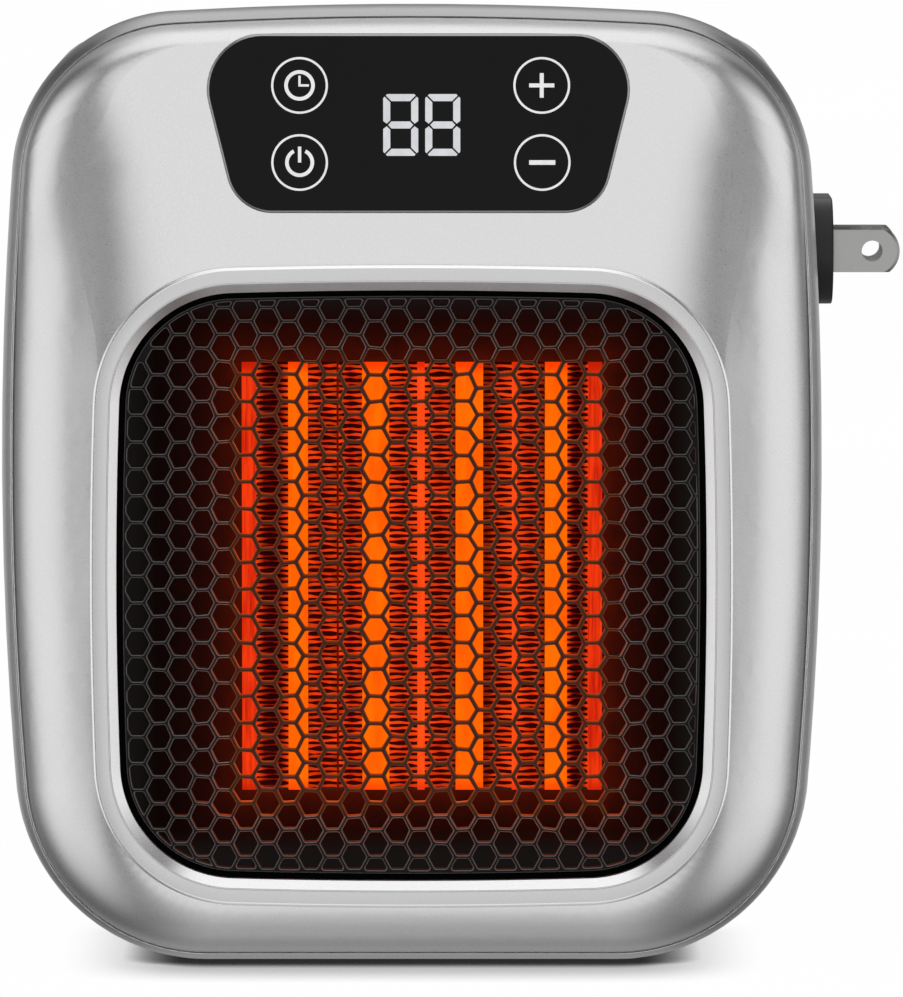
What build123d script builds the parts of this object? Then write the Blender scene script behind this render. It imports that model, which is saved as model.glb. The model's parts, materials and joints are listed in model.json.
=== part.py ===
from build123d import *
import math
import os

os.makedirs("parts", exist_ok=True)

# Plug-in fan heater.  Millimetres, +Z up, the front faces -Y, the plug leaves at +X.
# The origin is on the surface the heater stands on, under the middle of the housing.

# ----------------------------------------------------------------- driving dimensions
BODY_A = 61.0          # half width of the housing
BODY_H = 142.6         # height of the housing
BODY_ZW = 74.0         # height at which the housing is widest
R_SIDE, R_TOP = 580.0, 620.0      # bowed sides and top
R_TC, R_BC = 25.3, 28.6           # upper and lower corners
WALL_R, WALL_F = 2.4, 2.0         # rear and front wall thickness

Y_FRONT = -39.0        # front face of the front shell
Y_SEAM = -25.5         # where the front shell stands on the rear shell
Y_LIP = -27.8          # front end of the rear shell's lip
Y_LIPW = -21.0         # where the lip reaches full width
Y_BACK = 39.0          # rear face
R_BACK = 12.0          # rear edge rounding
LIP_IN = 1.5           # how far the lip rolls in
GROOVE = 1.55          # inner side of the lip
F_INSET = 1.75         # front shell, inside the outline of the housing

OPEN_Z = 57.45         # centre height of the outlet
OPEN_A, OPEN_B = 43.5, 43.7       # half size of the clear opening
OPEN_R1, OPEN_R2, OPEN_RC = 744.0, 908.0, 17.1
BEZEL_OUT = 3.85       # bezel width outside the clear opening
BEZEL_Y = -39.6        # front of the bezel

PANEL_X = 1.04         # the panel sits a little to the right of the middle
PANEL_ZT, PANEL_ZB = 138.83, 112.64
PANEL_HT, PANEL_HB = 33.2, 26.7   # half widths at the sharp corners
PANEL_RT, PANEL_RB = 8.1, 6.7
LENS_Y0, LENS_Y1 = -39.25, -37.8

HEX_X, HEX_Z = -5.28, 66.76       # centre of one cell
HEX_PX, HEX_PZ = 3.20, 3.97       # pitch of the columns, and of the cells in a column
RIB_H, RIB_S = 0.50, 0.60         # width of the level ribs and of the slanted ribs
GRILLE_Y0, GRILLE_Y1 = -37.0, -35.0

PTC_X0, PTC_X1 = -25.3, 28.3
WIN_Z0, WIN_Z1 = 25.3, 89.4
PTC_Y0, PTC_Y1 = -21.8, -8.0

FAN_Z = OPEN_Z
FAN_R = 35.5
SHAFT_R = 1.5

PLUG_Y, PLUG_Z = 8.0, 104.45
PLUG_FACE = 63.3
BLADE_W, BLADE_T, BLADE_PITCH = 6.35, 1.5, 12.7
BLADE_TIP = 73.5
BLADE_R = 4.0
BLADE_HOLE_X, BLADE_HOLE_R = 69.34, 1.59


# ----------------------------------------------------------------- helpers
def pt(x, y, z):
    return Vector(x, y, z)


def save(name, *shapes):
    solids = []
    for s in shapes:
        solids += list(s.solids())
    obj = solids[0] if len(solids) == 1 else Compound(children=solids)
    obj.label = name
    export_step(obj, "parts/" + name + ".step")


def solids_of(*shapes):
    out = []
    for s in shapes:
        out += list(s.solids())
    return out


def box(x0, x1, y0, y1, z0, z1):
    return Pos((x0 + x1) / 2, (y0 + y1) / 2, (z0 + z1) / 2) * Box(abs(x1 - x0), abs(y1 - y0), abs(z1 - z0))


def rod_x(r, x0, x1, y, z):
    return Pos((x0 + x1) / 2, y, z) * Rot(0, 90, 0) * Cylinder(r, abs(x1 - x0))


def rod_y(r, y0, y1, x, z):
    return Pos(x, (y0 + y1) / 2, z) * Rot(90, 0, 0) * Cylinder(r, abs(y1 - y0))


def rod_z(r, z0, z1, x, y):
    return Pos(x, y, (z0 + z1) / 2) * Cylinder(r, abs(z1 - z0))


def arc_quarter(a, b, r1, r2, rc):
    """Corner arc tangent inside a side arc (through (a, 0)) and a top arc (through (0, b))."""
    c1, c2 = (a - r1, 0.0), (0.0, b - r2)
    d1, d2 = r1 - rc, r2 - rc
    dx, dz = c2[0] - c1[0], c2[1] - c1[1]
    d = math.hypot(dx, dz)
    k = (d1 * d1 - d2 * d2 + d * d) / (2 * d)
    h = math.sqrt(max(d1 * d1 - k * k, 0.0))
    ux, uz = dx / d, dz / d
    mx, mz = c1[0] + k * ux, c1[1] + k * uz
    best = None
    for s in (1, -1):
        q = (mx - s * h * uz, mz + s * h * ux)
        if q[0] > 0 and q[1] > 0:
            best = q
    t1 = math.atan2(best[1] - c1[1], best[0] - c1[0])
    t2 = math.atan2(best[1] - c2[1], best[0] - c2[0])
    return best, t1, t2


def body_wire(y, w=0.0, wt=None, wb=None, a=BODY_A, zt=BODY_H, zb=0.0, rt=None, rb=None):
    """Outline of the housing at depth y, set in by w at the sides, wt at the top, wb below."""
    wt = w if wt is None else wt
    wb = w if wb is None else wb
    a, zt, zb = a - w, zt - wt, zb + wb
    r1 = R_SIDE - w
    r2 = R_TOP - wt
    rt = (R_TC - (w + wt) / 2) if rt is None else rt
    rb = (R_BC - (w + wb) / 2) if rb is None else rb
    z0 = BODY_ZW
    (cx, cz), t1, t2 = arc_quarter(a, zt - z0, r1, r2, rt)
    cz += z0
    # lower corner, tangent to the side arc and to the flat underside
    bz = zb + rb
    bx = (a - r1) + math.sqrt((r1 - rb) ** 2 - (bz - z0) ** 2)
    tb = math.atan2(bz - z0, bx - (a - r1))

    def side(t):
        return (a - r1 + r1 * math.cos(t), z0 + r1 * math.sin(t))

    def corner(c, r, t):
        return (c[0] + r * math.cos(t), c[1] + r * math.sin(t))

    def top(t):
        return (r2 * math.cos(t), zt - r2 + r2 * math.sin(t))

    p = {}
    p["b"] = (bx, zb)
    p["bm"] = corner((bx, bz), rb, (tb - math.pi / 2) / 2)
    p["s0"] = side(tb)
    p["sm"] = side((tb + t1) / 2)
    p["s1"] = side(t1)
    p["cm"] = corner((cx, cz), rt, (t1 + t2) / 2)
    p["t"] = top(t2)
    p["tm"] = (0.0, zt)

    def v(q, s=1):
        return pt(s * q[0], y, q[1])

    e = [
        Edge.make_line(v(p["b"], -1), v(p["b"])),
        Edge.make_three_point_arc(v(p["b"]), v(p["bm"]), v(p["s0"])),
        Edge.make_three_point_arc(v(p["s0"]), v(p["sm"]), v(p["s1"])),
        Edge.make_three_point_arc(v(p["s1"]), v(p["cm"]), v(p["t"])),
        Edge.make_three_point_arc(v(p["t"]), v(p["tm"]), v(p["t"], -1)),
        Edge.make_three_point_arc(v(p["t"], -1), v(p["cm"], -1), v(p["s1"], -1)),
        Edge.make_three_point_arc(v(p["s1"], -1), v(p["sm"], -1), v(p["s0"], -1)),
        Edge.make_three_point_arc(v(p["s0"], -1), v(p["bm"], -1), v(p["b"], -1)),
    ]
    return Wire(e)


def square_wire(y, d=0.0, cx=0.0, cz=OPEN_Z, a=OPEN_A, b=OPEN_B, rc=None):
    """Rounded square with slightly bowed sides, grown by d."""
    a, b = a + d, b + d
    r1, r2 = OPEN_R1 + d, OPEN_R2 + d
    rc = OPEN_RC + d if rc is None else rc
    (kx, kz), t1, t2 = arc_quarter(a, b, r1, r2, rc)
    s = (a - r1 + r1 * math.cos(t1), r1 * math.sin(t1))
    m = (kx + rc * math.cos((t1 + t2) / 2), kz + rc * math.sin((t1 + t2) / 2))
    t = (r2 * math.cos(t2), b - r2 + r2 * math.sin(t2))

    def v(q, sx, sz):
        return pt(cx + sx * q[0], y, cz + sz * q[1])

    e = []
    e.append(Edge.make_three_point_arc(v(s, 1, -1), v((a, 0), 1, 1), v(s, 1, 1)))
    e.append(Edge.make_three_point_arc(v(s, 1, 1), v(m, 1, 1), v(t, 1, 1)))
    e.append(Edge.make_three_point_arc(v(t, 1, 1), v((0, b), 1, 1), v(t, -1, 1)))
    e.append(Edge.make_three_point_arc(v(t, -1, 1), v(m, -1, 1), v(s, -1, 1)))
    e.append(Edge.make_three_point_arc(v(s, -1, 1), v((a, 0), -1, 1), v(s, -1, -1)))
    e.append(Edge.make_three_point_arc(v(s, -1, -1), v(m, -1, -1), v(t, -1, -1)))
    e.append(Edge.make_three_point_arc(v(t, -1, -1), v((0, b), 1, -1), v(t, 1, -1)))
    e.append(Edge.make_three_point_arc(v(t, 1, -1), v(m, 1, -1), v(s, 1, -1)))
    return Wire(e)


def square_points(d, n=24, cx=0.0, cz=OPEN_Z):
    """The same rounded square as a closed list of (x, z) points."""
    a, b, rc = OPEN_A + d, OPEN_B + d, OPEN_RC + d
    r1, r2 = OPEN_R1 + d, OPEN_R2 + d
    (kx, kz), t1, t2 = arc_quarter(a, b, r1, r2, rc)
    q = []
    for i in range(6):
        t = t1 * i / 6
        q.append((a - r1 + r1 * math.cos(t), r1 * math.sin(t)))
    for i in range(n):
        t = t1 + (t2 - t1) * i / n
        q.append((kx + rc * math.cos(t), kz + rc * math.sin(t)))
    for i in range(6):
        t = t2 + (math.pi / 2 - t2) * i / 6
        q.append((r2 * math.cos(t), b - r2 + r2 * math.sin(t)))
    out = [(x, z) for x, z in q]
    out += [(-x, z) for x, z in [(0.0, b)] + q[::-1]]
    out += [(-x, -z) for x, z in q[1:]]
    out += [(x, -z) for x, z in [(0.0, b)] + q[::-1][:-1]]
    return [(cx + x, cz + z) for x, z in out]


def prism_y(wire, y0, y1, holes=()):
    """Solid from a planar wire in an XZ plane, swept along Y from y0 to y1."""
    f = Face(wire, list(holes)) if holes else Face(wire)
    s = Solid.extrude(f, pt(0, y1 - y0, 0))
    return s


def poly_y(points, y0, y1, holes=()):
    w = Wire.make_polygon([pt(x, y0, z) for x, z in points], close=True)
    hs = [Wire.make_polygon([pt(x, y0, z) for x, z in h], close=True) for h in holes]
    return prism_y(w, y0, y1, hs)


def wire_tube(points, radius, bend):
    """A round lead along straight runs joined by tangent arcs."""
    path = FilletPolyline(*[pt(*p) for p in points], radius=bend)
    start = path @ 0
    direction = path % 0
    sec = Plane(origin=start, z_dir=direction) * Circle(radius)
    return sweep(sec, path=path)


def screw_y(x, z, y_seat, head_r, head_h, shank_r, length, tip=0.5):
    """Pan-head screw driven towards -Y; its head stands on y_seat."""
    head = rod_y(head_r, y_seat, y_seat + head_h, x, z)
    slot = box(x - head_r * 0.62, x + head_r * 0.62, y_seat + head_h * 0.55, y_seat + head_h + 1, z - 0.28, z + 0.28)
    slot2 = box(x - 0.28, x + 0.28, y_seat + head_h * 0.55, y_seat + head_h + 1, z - head_r * 0.62, z + head_r * 0.62)
    body = head + rod_y(shank_r, y_seat - length, y_seat, x, z)
    return body - slot - slot2


# ----------------------------------------------------------------- front shell
F_T = [0, 14, 28, 42, 55, 67, 78, 90]            # stations of the edge rounding
F_W, F_WT, F_WB = 13.0, 2.8, 8.5                 # rounding width: sides, top, bottom
F_RT, F_RB = R_TC - F_INSET, R_BC - F_INSET      # corner radii at the seam
F_RT1, F_RB1 = 11.5, 17.0                        # corner radii of the flat front


def front_wires(extra, w, wt, wb, y_seam, y_front, rt0, rb0, rt1, rb1):
    ws = []
    for deg in F_T:
        t = math.radians(deg)
        c, s = 1 - math.cos(t), math.sin(t)
        y = y_seam + (y_front - y_seam) * s
        ws.append(body_wire(y, extra + w * c, extra + wt * c, extra + wb * c,
                            rt=rt0 + (rt1 - rt0) * c, rb=rb0 + (rb1 - rb0) * c))
    return ws


Y_ROLL = -26.0
outer_ws = front_wires(F_INSET, F_W, F_WT, F_WB, Y_ROLL, Y_FRONT, F_RT, F_RB, F_RT1, F_RB1)
front_outer = Solid.make_loft(outer_ws)
front_skirt = prism_y(body_wire(Y_SEAM, F_INSET, rt=F_RT, rb=F_RB), Y_SEAM, Y_ROLL)
front_outer = front_outer + front_skirt
inner_ws = front_wires(F_INSET + WALL_F, F_W - 1.5, F_WT - 0.8, F_WB - 1.5, Y_ROLL, Y_FRONT + WALL_F,
                       F_RT - WALL_F, F_RB - WALL_F, F_RT1 - 1.5, F_RB1 - 1.5)
front_inner = Solid.make_loft(inner_ws)
front_inner = front_inner + prism_y(body_wire(Y_SEAM + 1, F_INSET + WALL_F, rt=F_RT - WALL_F, rb=F_RB - WALL_F),
                                    Y_SEAM + 1, Y_ROLL)
front = front_outer - front_inner

SHELL_OPEN = 2.0       # the opening in the shell is this much larger than the clear opening
front = front - prism_y(square_wire(Y_FRONT - 2, SHELL_OPEN), Y_FRONT - 2, Y_FRONT + 6)


def panel_face_wire(y, d=0.0):
    zt, zb = PANEL_ZT + d, PANEL_ZB - d
    slope = (PANEL_HT - PANEL_HB) / (PANEL_ZT - PANEL_ZB)
    ca = d * math.sqrt(1 + slope * slope)
    ht = PANEL_HT + ca + slope * d
    hb = PANEL_HB + ca - slope * d
    pts = [(PANEL_X - ht, zt), (PANEL_X + ht, zt), (PANEL_X + hb, zb), (PANEL_X - hb, zb)]
    rs = [PANEL_RT + d, PANEL_RT + d, PANEL_RB + d, PANEL_RB + d]
    segs = []
    n = 4
    info = []
    for i in range(n):
        p0, p1, p2 = pts[i - 1], pts[i], pts[(i + 1) % n]
        u = (p0[0] - p1[0], p0[1] - p1[1])
        w = (p2[0] - p1[0], p2[1] - p1[1])
        lu, lw = math.hypot(*u), math.hypot(*w)
        u, w = (u[0] / lu, u[1] / lu), (w[0] / lw, w[1] / lw)
        half = math.acos(u[0] * w[0] + u[1] * w[1]) / 2
        tl = rs[i] / math.tan(half)
        bis = (u[0] + w[0], u[1] + w[1])
        lb = math.hypot(*bis)
        bis = (bis[0] / lb, bis[1] / lb)
        cd = rs[i] / math.sin(half)
        c = (p1[0] + bis[0] * cd, p1[1] + bis[1] * cd)
        m = (c[0] - bis[0] * rs[i], c[1] - bis[1] * rs[i])
        info.append(((p1[0] + u[0] * tl, p1[1] + u[1] * tl), m, (p1[0] + w[0] * tl, p1[1] + w[1] * tl)))
    for i in range(n):
        a, m, b = info[i]
        nx = info[(i + 1) % n][0]
        segs.append(Edge.make_three_point_arc(pt(a[0], y, a[1]), pt(m[0], y, m[1]), pt(b[0], y, b[1])))
        segs.append(Edge.make_line(pt(b[0], y, b[1]), pt(nx[0], y, nx[1])))
    return Wire(segs)


# pocket for the touch panel, with holes for the display and the sensing pads
front = front - prism_y(panel_face_wire(Y_FRONT - 2, 0.08), Y_FRONT - 2, LENS_Y1)
DISP = (PANEL_X + 0.5 - 6.6, PANEL_X + 0.5 + 6.6, 119.9, 131.1)
ICONS = {"timer": (-16.38, 131.31), "power": (-16.38, 120.0), "plus": (19.12, 131.31), "minus": (19.2, 120.0)}
front = front - box(DISP[0] - 0.15, DISP[1] + 0.15, LENS_Y1 - 1, Y_FRONT + 5, DISP[2] - 0.15, DISP[3] + 0.15)
for ix, iz in ICONS.values():
    front = front - rod_y(3.9, LENS_Y1 - 1, Y_FRONT + 5, ix, iz)

# screw bosses: case, outlet chamber, control board
CASE_BOSS = [(46.5, 129.0), (-46.5, 129.0), (46.5, 14.5), (-46.5, 14.5)]
CHAMBER_EARS = [(20.0, 107.4), (-20.0, 107.4), (20.0, 7.4), (-20.0, 7.4)]
BOARD_POSTS = [(-26.0, 133.2), (28.0, 133.2), (-26.0, 116.6), (28.0, 116.6)]
Y_MEET = 4.0           # where front and rear case bosses meet
for bx, bz in CASE_BOSS:
    root = rod_y(3.5, -38.6, Y_ROLL, bx, bz) & front_outer
    front = front + root + rod_y(3.5, Y_ROLL, Y_MEET, bx, bz)
    front = front - rod_y(1.55, -10.0, Y_MEET + 1, bx, bz)
for bx, bz in CHAMBER_EARS:
    root = rod_y(2.4, -38.6, -31.0, bx, bz) & front_outer
    front = front + root
    front = front - rod_y(1.05, -36.4, -30.0, bx, bz)
for bx, bz in BOARD_POSTS:
    front = front + (rod_y(2.2, -37.6, -31.5, bx, bz) & front_outer)
    front = front - rod_y(0.95, -36.6, -30.0, bx, bz)
save("front_shell", front)

# ----------------------------------------------------------------- rear shell
lip_ws = []
for inset, y in ((0.0, Y_LIPW), (0.07, -22.6), (0.27, -24.2), (0.58, -25.6), (0.95, -26.7), (1.32, -27.5), (LIP_IN, Y_LIP)):
    lip_ws.append(body_wire(y, inset))
lip = Solid.make_loft(lip_ws)
rear_block = prism_y(body_wire(Y_LIPW, 0), Y_LIPW, Y_BACK)
back_edges = [e for e in rear_block.edges() if abs(e.center().Y - Y_BACK) < 1e-4
              and abs((e @ 0).Y - Y_BACK) < 1e-4 and abs((e @ 1).Y - Y_BACK) < 1e-4]
rear_block = rear_block.fillet(R_BACK, back_edges)
rear_outer = rear_block + lip
rear_in = prism_y(body_wire(Y_LIPW - 8, WALL_R), Y_LIPW - 8, Y_BACK - WALL_R)
in_edges = [e for e in rear_in.edges() if abs((e @ 0).Y - (Y_BACK - WALL_R)) < 1e-4
            and abs((e @ 1).Y - (Y_BACK - WALL_R)) < 1e-4 and abs(e.center().Y - (Y_BACK - WALL_R)) < 1e-4]
rear_in = rear_in.fillet(R_BACK - WALL_R, in_edges)
rear = rear_outer - rear_in
rear = rear - prism_y(body_wire(Y_LIP - 2, GROOVE), Y_LIP - 2, Y_SEAM)

for bx, bz in CASE_BOSS:
    rear = rear + (rod_y(4.6, Y_MEET, Y_BACK, bx, bz) & rear_outer)
    rear = rear - rod_y(3.1, 22.0, Y_BACK + 2, bx, bz)
    rear = rear - rod_y(1.65, Y_MEET - 1, Y_BACK, bx, bz)

# plug housing: a round pocket in the right-hand wall with a floor and a bearing hole
POCKET_R, HUB_R, HUB_HOLE = 14.3, 9.0, 9.08
rear = rear + (rod_x(POCKET_R + 1.9, 50.0, 62.0, PLUG_Y, PLUG_Z) & rear_outer)
rear = rear - rod_x(POCKET_R, 52.0, 64.0, PLUG_Y, PLUG_Z)
rear = rear - rod_x(HUB_HOLE, 49.0, 53.0, PLUG_Y, PLUG_Z)
CARRIER_EARS = [(PLUG_Y - 18.6, PLUG_Z), (PLUG_Y + 18.6, PLUG_Z)]
for ey, ez in CARRIER_EARS:
    rear = rear + (rod_x(2.8, 50.0, 60.0, ey, ez) & rear_outer)
    rear = rear - rod_x(1.05, 49.0, 56.0, ey, ez)

# power board posts
PB_POSTS = [(-36.0, 109.0), (36.0, 109.0), (-36.0, 133.0), (36.0, 133.0)]
for bx, bz in PB_POSTS:
    rear = rear + (rod_y(3.0, 29.6, Y_BACK - 1, bx, bz) & rear_outer)
    rear = rear - rod_y(1.05, 28.6, 36.4, bx, bz)

# round opening for the intake grille, with a step for its flange
rear = rear - rod_y(36.1, Y_BACK - 5, Y_BACK + 1, 0, FAN_Z)
save("rear_shell", rear)

# intake grille: concentric slots with spokes
ig = rod_y(35.8, 35.4, 38.6, 0, FAN_Z) + rod_y(39.0, 35.4, 36.6, 0, FAN_Z)
slots = None
for i in range(7):
    r0 = 7.6 + i * 3.9
    ring = rod_y(r0 + 2.5, 34, 40, 0, FAN_Z) - rod_y(r0, 33, 41, 0, FAN_Z)
    slots = ring if slots is None else slots + ring
spokes = None
for i in range(8):
    s = Pos(0, 37, FAN_Z) * Rot(0, 45 * i + 22.5, 0) * Pos(18, 0, 0) * Box(44, 8, 2.2)
    spokes = s if spokes is None else spokes + s
ig = ig - (slots - spokes)
save("intake_grille", ig)

# ----------------------------------------------------------------- bezel round the outlet
flange = prism_y(square_wire(Y_FRONT, BEZEL_OUT), Y_FRONT, BEZEL_Y)
top_edges = [e for e in flange.edges() if abs((e @ 0).Y - BEZEL_Y) < 1e-4 and abs((e @ 1).Y - BEZEL_Y) < 1e-4]
flange = flange.fillet(0.38, top_edges)
bezel = flange + prism_y(square_wire(GRILLE_Y0, SHELL_OPEN - 0.15), GRILLE_Y0, Y_FRONT)
bezel = bezel - prism_y(square_wire(GRILLE_Y0 + 1, 0.0), GRILLE_Y0 + 1, BEZEL_Y - 1)
ch = 1.25
cham = Solid.make_loft([square_wire(BEZEL_Y + ch, 0.0), square_wire(BEZEL_Y, ch)], ruled=True)
bezel = bezel - cham
save("grille_bezel", bezel)

# ----------------------------------------------------------------- honeycomb grille
FRAME_IN = 1.05        # visible plain border inside the clear opening


def clip(poly, region):
    """Sutherland-Hodgman clip of a convex polygon by a convex, anticlockwise region."""
    out = poly
    m = len(region)
    for i in range(m):
        ax, az = region[i]
        bx, bz = region[(i + 1) % m]
        ex, ez = bx - ax, bz - az
        src, out = out, []
        if not src:
            return []
        for j in range(len(src)):
            p, q = src[j], src[(j + 1) % len(src)]
            dp = ex * (p[1] - az) - ez * (p[0] - ax)
            dq = ex * (q[1] - az) - ez * (q[0] - ax)
            if dp >= 0:
                out.append(p)
            if (dp >= 0) != (dq >= 0):
                k = dp / (dp - dq)
                out.append((p[0] + k * (q[0] - p[0]), p[1] + k * (q[1] - p[1])))
    return out


def area2(poly):
    return sum(poly[i][0] * poly[(i + 1) % len(poly)][1] - poly[(i + 1) % len(poly)][0] * poly[i][1]
               for i in range(len(poly)))


def tidy(poly, eps=0.05):
    out = []
    for p in poly:
        if not out or math.hypot(p[0] - out[-1][0], p[1] - out[-1][1]) > eps:
            out.append(p)
    while len(out) > 2 and math.hypot(out[0][0] - out[-1][0], out[0][1] - out[-1][1]) <= eps:
        out.pop()
    return out


region = square_points(-FRAME_IN, n=20)
if area2(region) < 0:
    region = region[::-1]
cells = []
rib_l = math.hypot(HEX_PZ / 2, HEX_PX / 3)
rib_d = (2 * HEX_PX / 3) * (HEX_PZ / 2) / rib_l - RIB_S / 2
cell_h = HEX_PZ / 2 - RIB_H / 2
cell_w = rib_d * rib_l / (HEX_PZ / 2)                                # half width at the side corners
cell_t = (rib_d * rib_l - cell_h * HEX_PX / 3) / (HEX_PZ / 2)        # half width of the level edges
for i in range(-14, 18):
    cx = HEX_X + i * HEX_PX
    for j in range(-16, 17):
        cz = HEX_Z + (j + (0.5 if i % 2 else 0.0)) * HEX_PZ
        hexa = [(cx + u, cz + v) for u, v in ((cell_w, 0.0), (cell_t, cell_h), (-cell_t, cell_h),
                                              (-cell_w, 0.0), (-cell_t, -cell_h), (cell_t, -cell_h))]
        if abs(cx) > 50 or abs(cz - OPEN_Z) > 50:
            continue
        c = tidy(clip(hexa, region))
        if len(c) >= 3 and abs(area2(c)) / 2 > 0.8:
            cells.append(c)
grille = prism_y(square_wire(GRILLE_Y0, 2.5), GRILLE_Y0, GRILLE_Y1,
                 [Wire.make_polygon([pt(x, GRILLE_Y0, z) for x, z in c], close=True) for c in cells])
save("honeycomb_grille", grille)
print("grille cells", len(cells))

# ----------------------------------------------------------------- touch panel
lens = prism_y(panel_face_wire(LENS_Y1), LENS_Y1, LENS_Y0)
lens_edges = [e for e in lens.edges() if abs((e @ 0).Y - LENS_Y0) < 1e-4 and abs((e @ 1).Y - LENS_Y0) < 1e-4]
lens = lens.fillet(0.22, lens_edges)
INK0, INK1 = LENS_Y0 - 0.02, LENS_Y0 + 0.13


def ring_y(r_out, r_in, x, z, y0=INK0, y1=INK1):
    return rod_y(r_out, y0, y1, x, z) - rod_y(r_in, y0 - 1, y1 + 1, x, z)


LINE = 0.32
icons = []
for ix, iz in ICONS.values():
    icons.append(ring_y(4.0 + LINE / 2, 4.0 - LINE / 2, ix, iz))
tx, tz = ICONS["timer"]
icons.append(ring_y(2.24, 1.71, tx, tz))
hand = box(tx - 0.17, tx + 0.17, INK0, INK1, tz + 0.0, tz + 1.42)
hand = hand + box(tx - 0.17, tx + 1.38, INK0, INK1, tz - 0.17, tz + 0.17)
icons.append(hand)
px, pz = ICONS["power"]
cut = poly_y([(px, pz), (px - 2.4 * math.tan(math.radians(27)) * 1.6, pz + 3.84),
              (px + 2.4 * math.tan(math.radians(27)) * 1.6, pz + 3.84)], INK0 - 1, INK1 + 1)
icons.append(ring_y(2.13, 1.60, px, pz) - cut)
icons.append(box(px - 0.24, px + 0.24, INK0, INK1, pz + 0.0, pz + 2.33))
qx, qz = ICONS["plus"]
plus = box(qx - 1.84, qx + 1.84, INK0, INK1, qz - 0.29, qz + 0.29)
plus = plus + box(qx - 0.29, qx + 0.29, INK0, INK1, qz - 1.80, qz + 1.80)
icons.append(plus)
mx, mz = ICONS["minus"]
icons.append(box(mx - 1.92, mx + 1.92, INK0, INK1, mz - 0.34, mz + 0.34))
for ic in icons:
    lens = lens - ic

# two digits of seven segments, light guides that reach from the display to the front
SEG_T, SEG_G = 1.04, 0.17
seg_solids = []


def digit(x0, x1, z0, z1):
    zm = (z0 + z1) / 2
    t, g = SEG_T, SEG_G
    k = 0.42           # bevel of the outer corners
    out = []
    # top and bottom
    out.append([(x0 + g + k, z1), (x1 - g - k, z1), (x1 - g - k * 0.5, z1 - k * 0.5), (x1 - t - g, z1 - t), (x0 + t + g, z1 - t), (x0 + g + k * 0.5, z1 - k * 0.5)])
    out.append([(x, z0 + z1 - z) for x, z in out[0]][::-1])
    # uprights, upper left first, then mirrored
    ul = [(x0, z1 - g - k), (x0 + k * 0.5, z1 - g - k * 0.5), (x0 + t, z1 - t - g), (x0 + t, zm + t / 2 + g),
          (x0 + t / 2, zm + g + 0.02), (x0, zm + t / 2 + g - 0.1)]
    out.append(ul)
    out.append([(x0 + x1 - x, z) for x, z in ul][::-1])
    out.append([(x, z0 + z1 - z) for x, z in ul][::-1])
    out.append([(x0 + x1 - x, z0 + z1 - z) for x, z in ul])
    # middle
    out.append([(x0 + t / 2 + g * 1.2, zm), (x0 + t + g, zm + t / 2), (x1 - t - g, zm + t / 2), (x1 - t / 2 - g * 1.2, zm),
                (x1 - t - g, zm - t / 2), (x0 + t + g, zm - t / 2)])
    return out


segs = digit(-4.12, 1.02, 120.98, 130.04) + digit(2.04, 7.18, 120.98, 130.04)
seg_solids = [poly_y(s, INK0, -37.0) for s in segs]
for s in seg_solids:
    lens = lens - s
save("panel_lens", lens)
save("panel_icons", *icons)
save("display_segments", *seg_solids)
save("display_module", box(DISP[0], DISP[1], -37.0, -31.5, DISP[2], DISP[3]))
save("touch_pads", *[rod_y(3.4, LENS_Y1, -31.5, ix, iz) for ix, iz in ICONS.values()])

# control board with its chips
cb = box(-29.0, 31.0, -31.5, -29.9, 114.6, 135.4)
for bx, bz in BOARD_POSTS:
    cb = cb - rod_y(1.05, -33, -28, bx, bz)
save("control_board", cb)
chips = [box(-8, -1, -29.9, -28.5, 121.5, 128.5), box(6, 11, -29.9, -28.4, 123, 127), box(14, 17, -29.9, -28.9, 119, 121),
         box(14, 17, -29.9, -28.9, 124, 126), box(2, 4, -29.9, -29.1, 117, 118.2), box(-14, -12, -29.9, -29.1, 118, 119.2)]
save("control_chips", *chips)
save("control_board_screws", *[screw_y(bx, bz, -29.9, 1.9, 1.2, 0.9, 6.0) for bx, bz in BOARD_POSTS])

# ----------------------------------------------------------------- outlet chamber and heater tunnel
CH_IN, CH_W = 0.6, 1.6        # inside of the chamber relative to the opening, and its wall
TUN = (PTC_X0 - 0.1, PTC_X1 + 0.1, 21.9, 92.9)
CH_Y0, CH_Y1 = -35.0, -20.3
chamber = prism_y(square_wire(CH_Y0, CH_IN + CH_W), CH_Y0, CH_Y1) - prism_y(square_wire(CH_Y0 - 1, CH_IN), CH_Y0 - 1, -21.9)
chamber = chamber + (prism_y(square_wire(CH_Y0, 3.6), CH_Y0, -33.4) - prism_y(square_wire(CH_Y0 - 1, CH_IN), CH_Y0 - 1, -33))
chamber = chamber - box(PTC_X0 - 0.1, PTC_X1 + 0.1, -30, -19, WIN_Z0, WIN_Z1)
tunnel = box(TUN[0] - 1.5, TUN[1] + 1.5, -20.4, -6.0, TUN[2] - 1.5, TUN[3] + 1.5) - box(TUN[0], TUN[1], -20.3, -5.0, TUN[2], TUN[3])
tunnel = tunnel - box(TUN[0], TUN[1], -21.0, -5.0, WIN_Z0, WIN_Z1)
chamber = chamber + tunnel
PL_A, PL_R = 43.5, 12.0


def plate(y0, y1):
    s = box(-PL_A, PL_A, y0, y1, OPEN_Z - PL_A, OPEN_Z + PL_A)
    return s.fillet(PL_R, [e for e in s.edges() if abs((e @ 0).Y - (e @ 1).Y) > 0.5])


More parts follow.
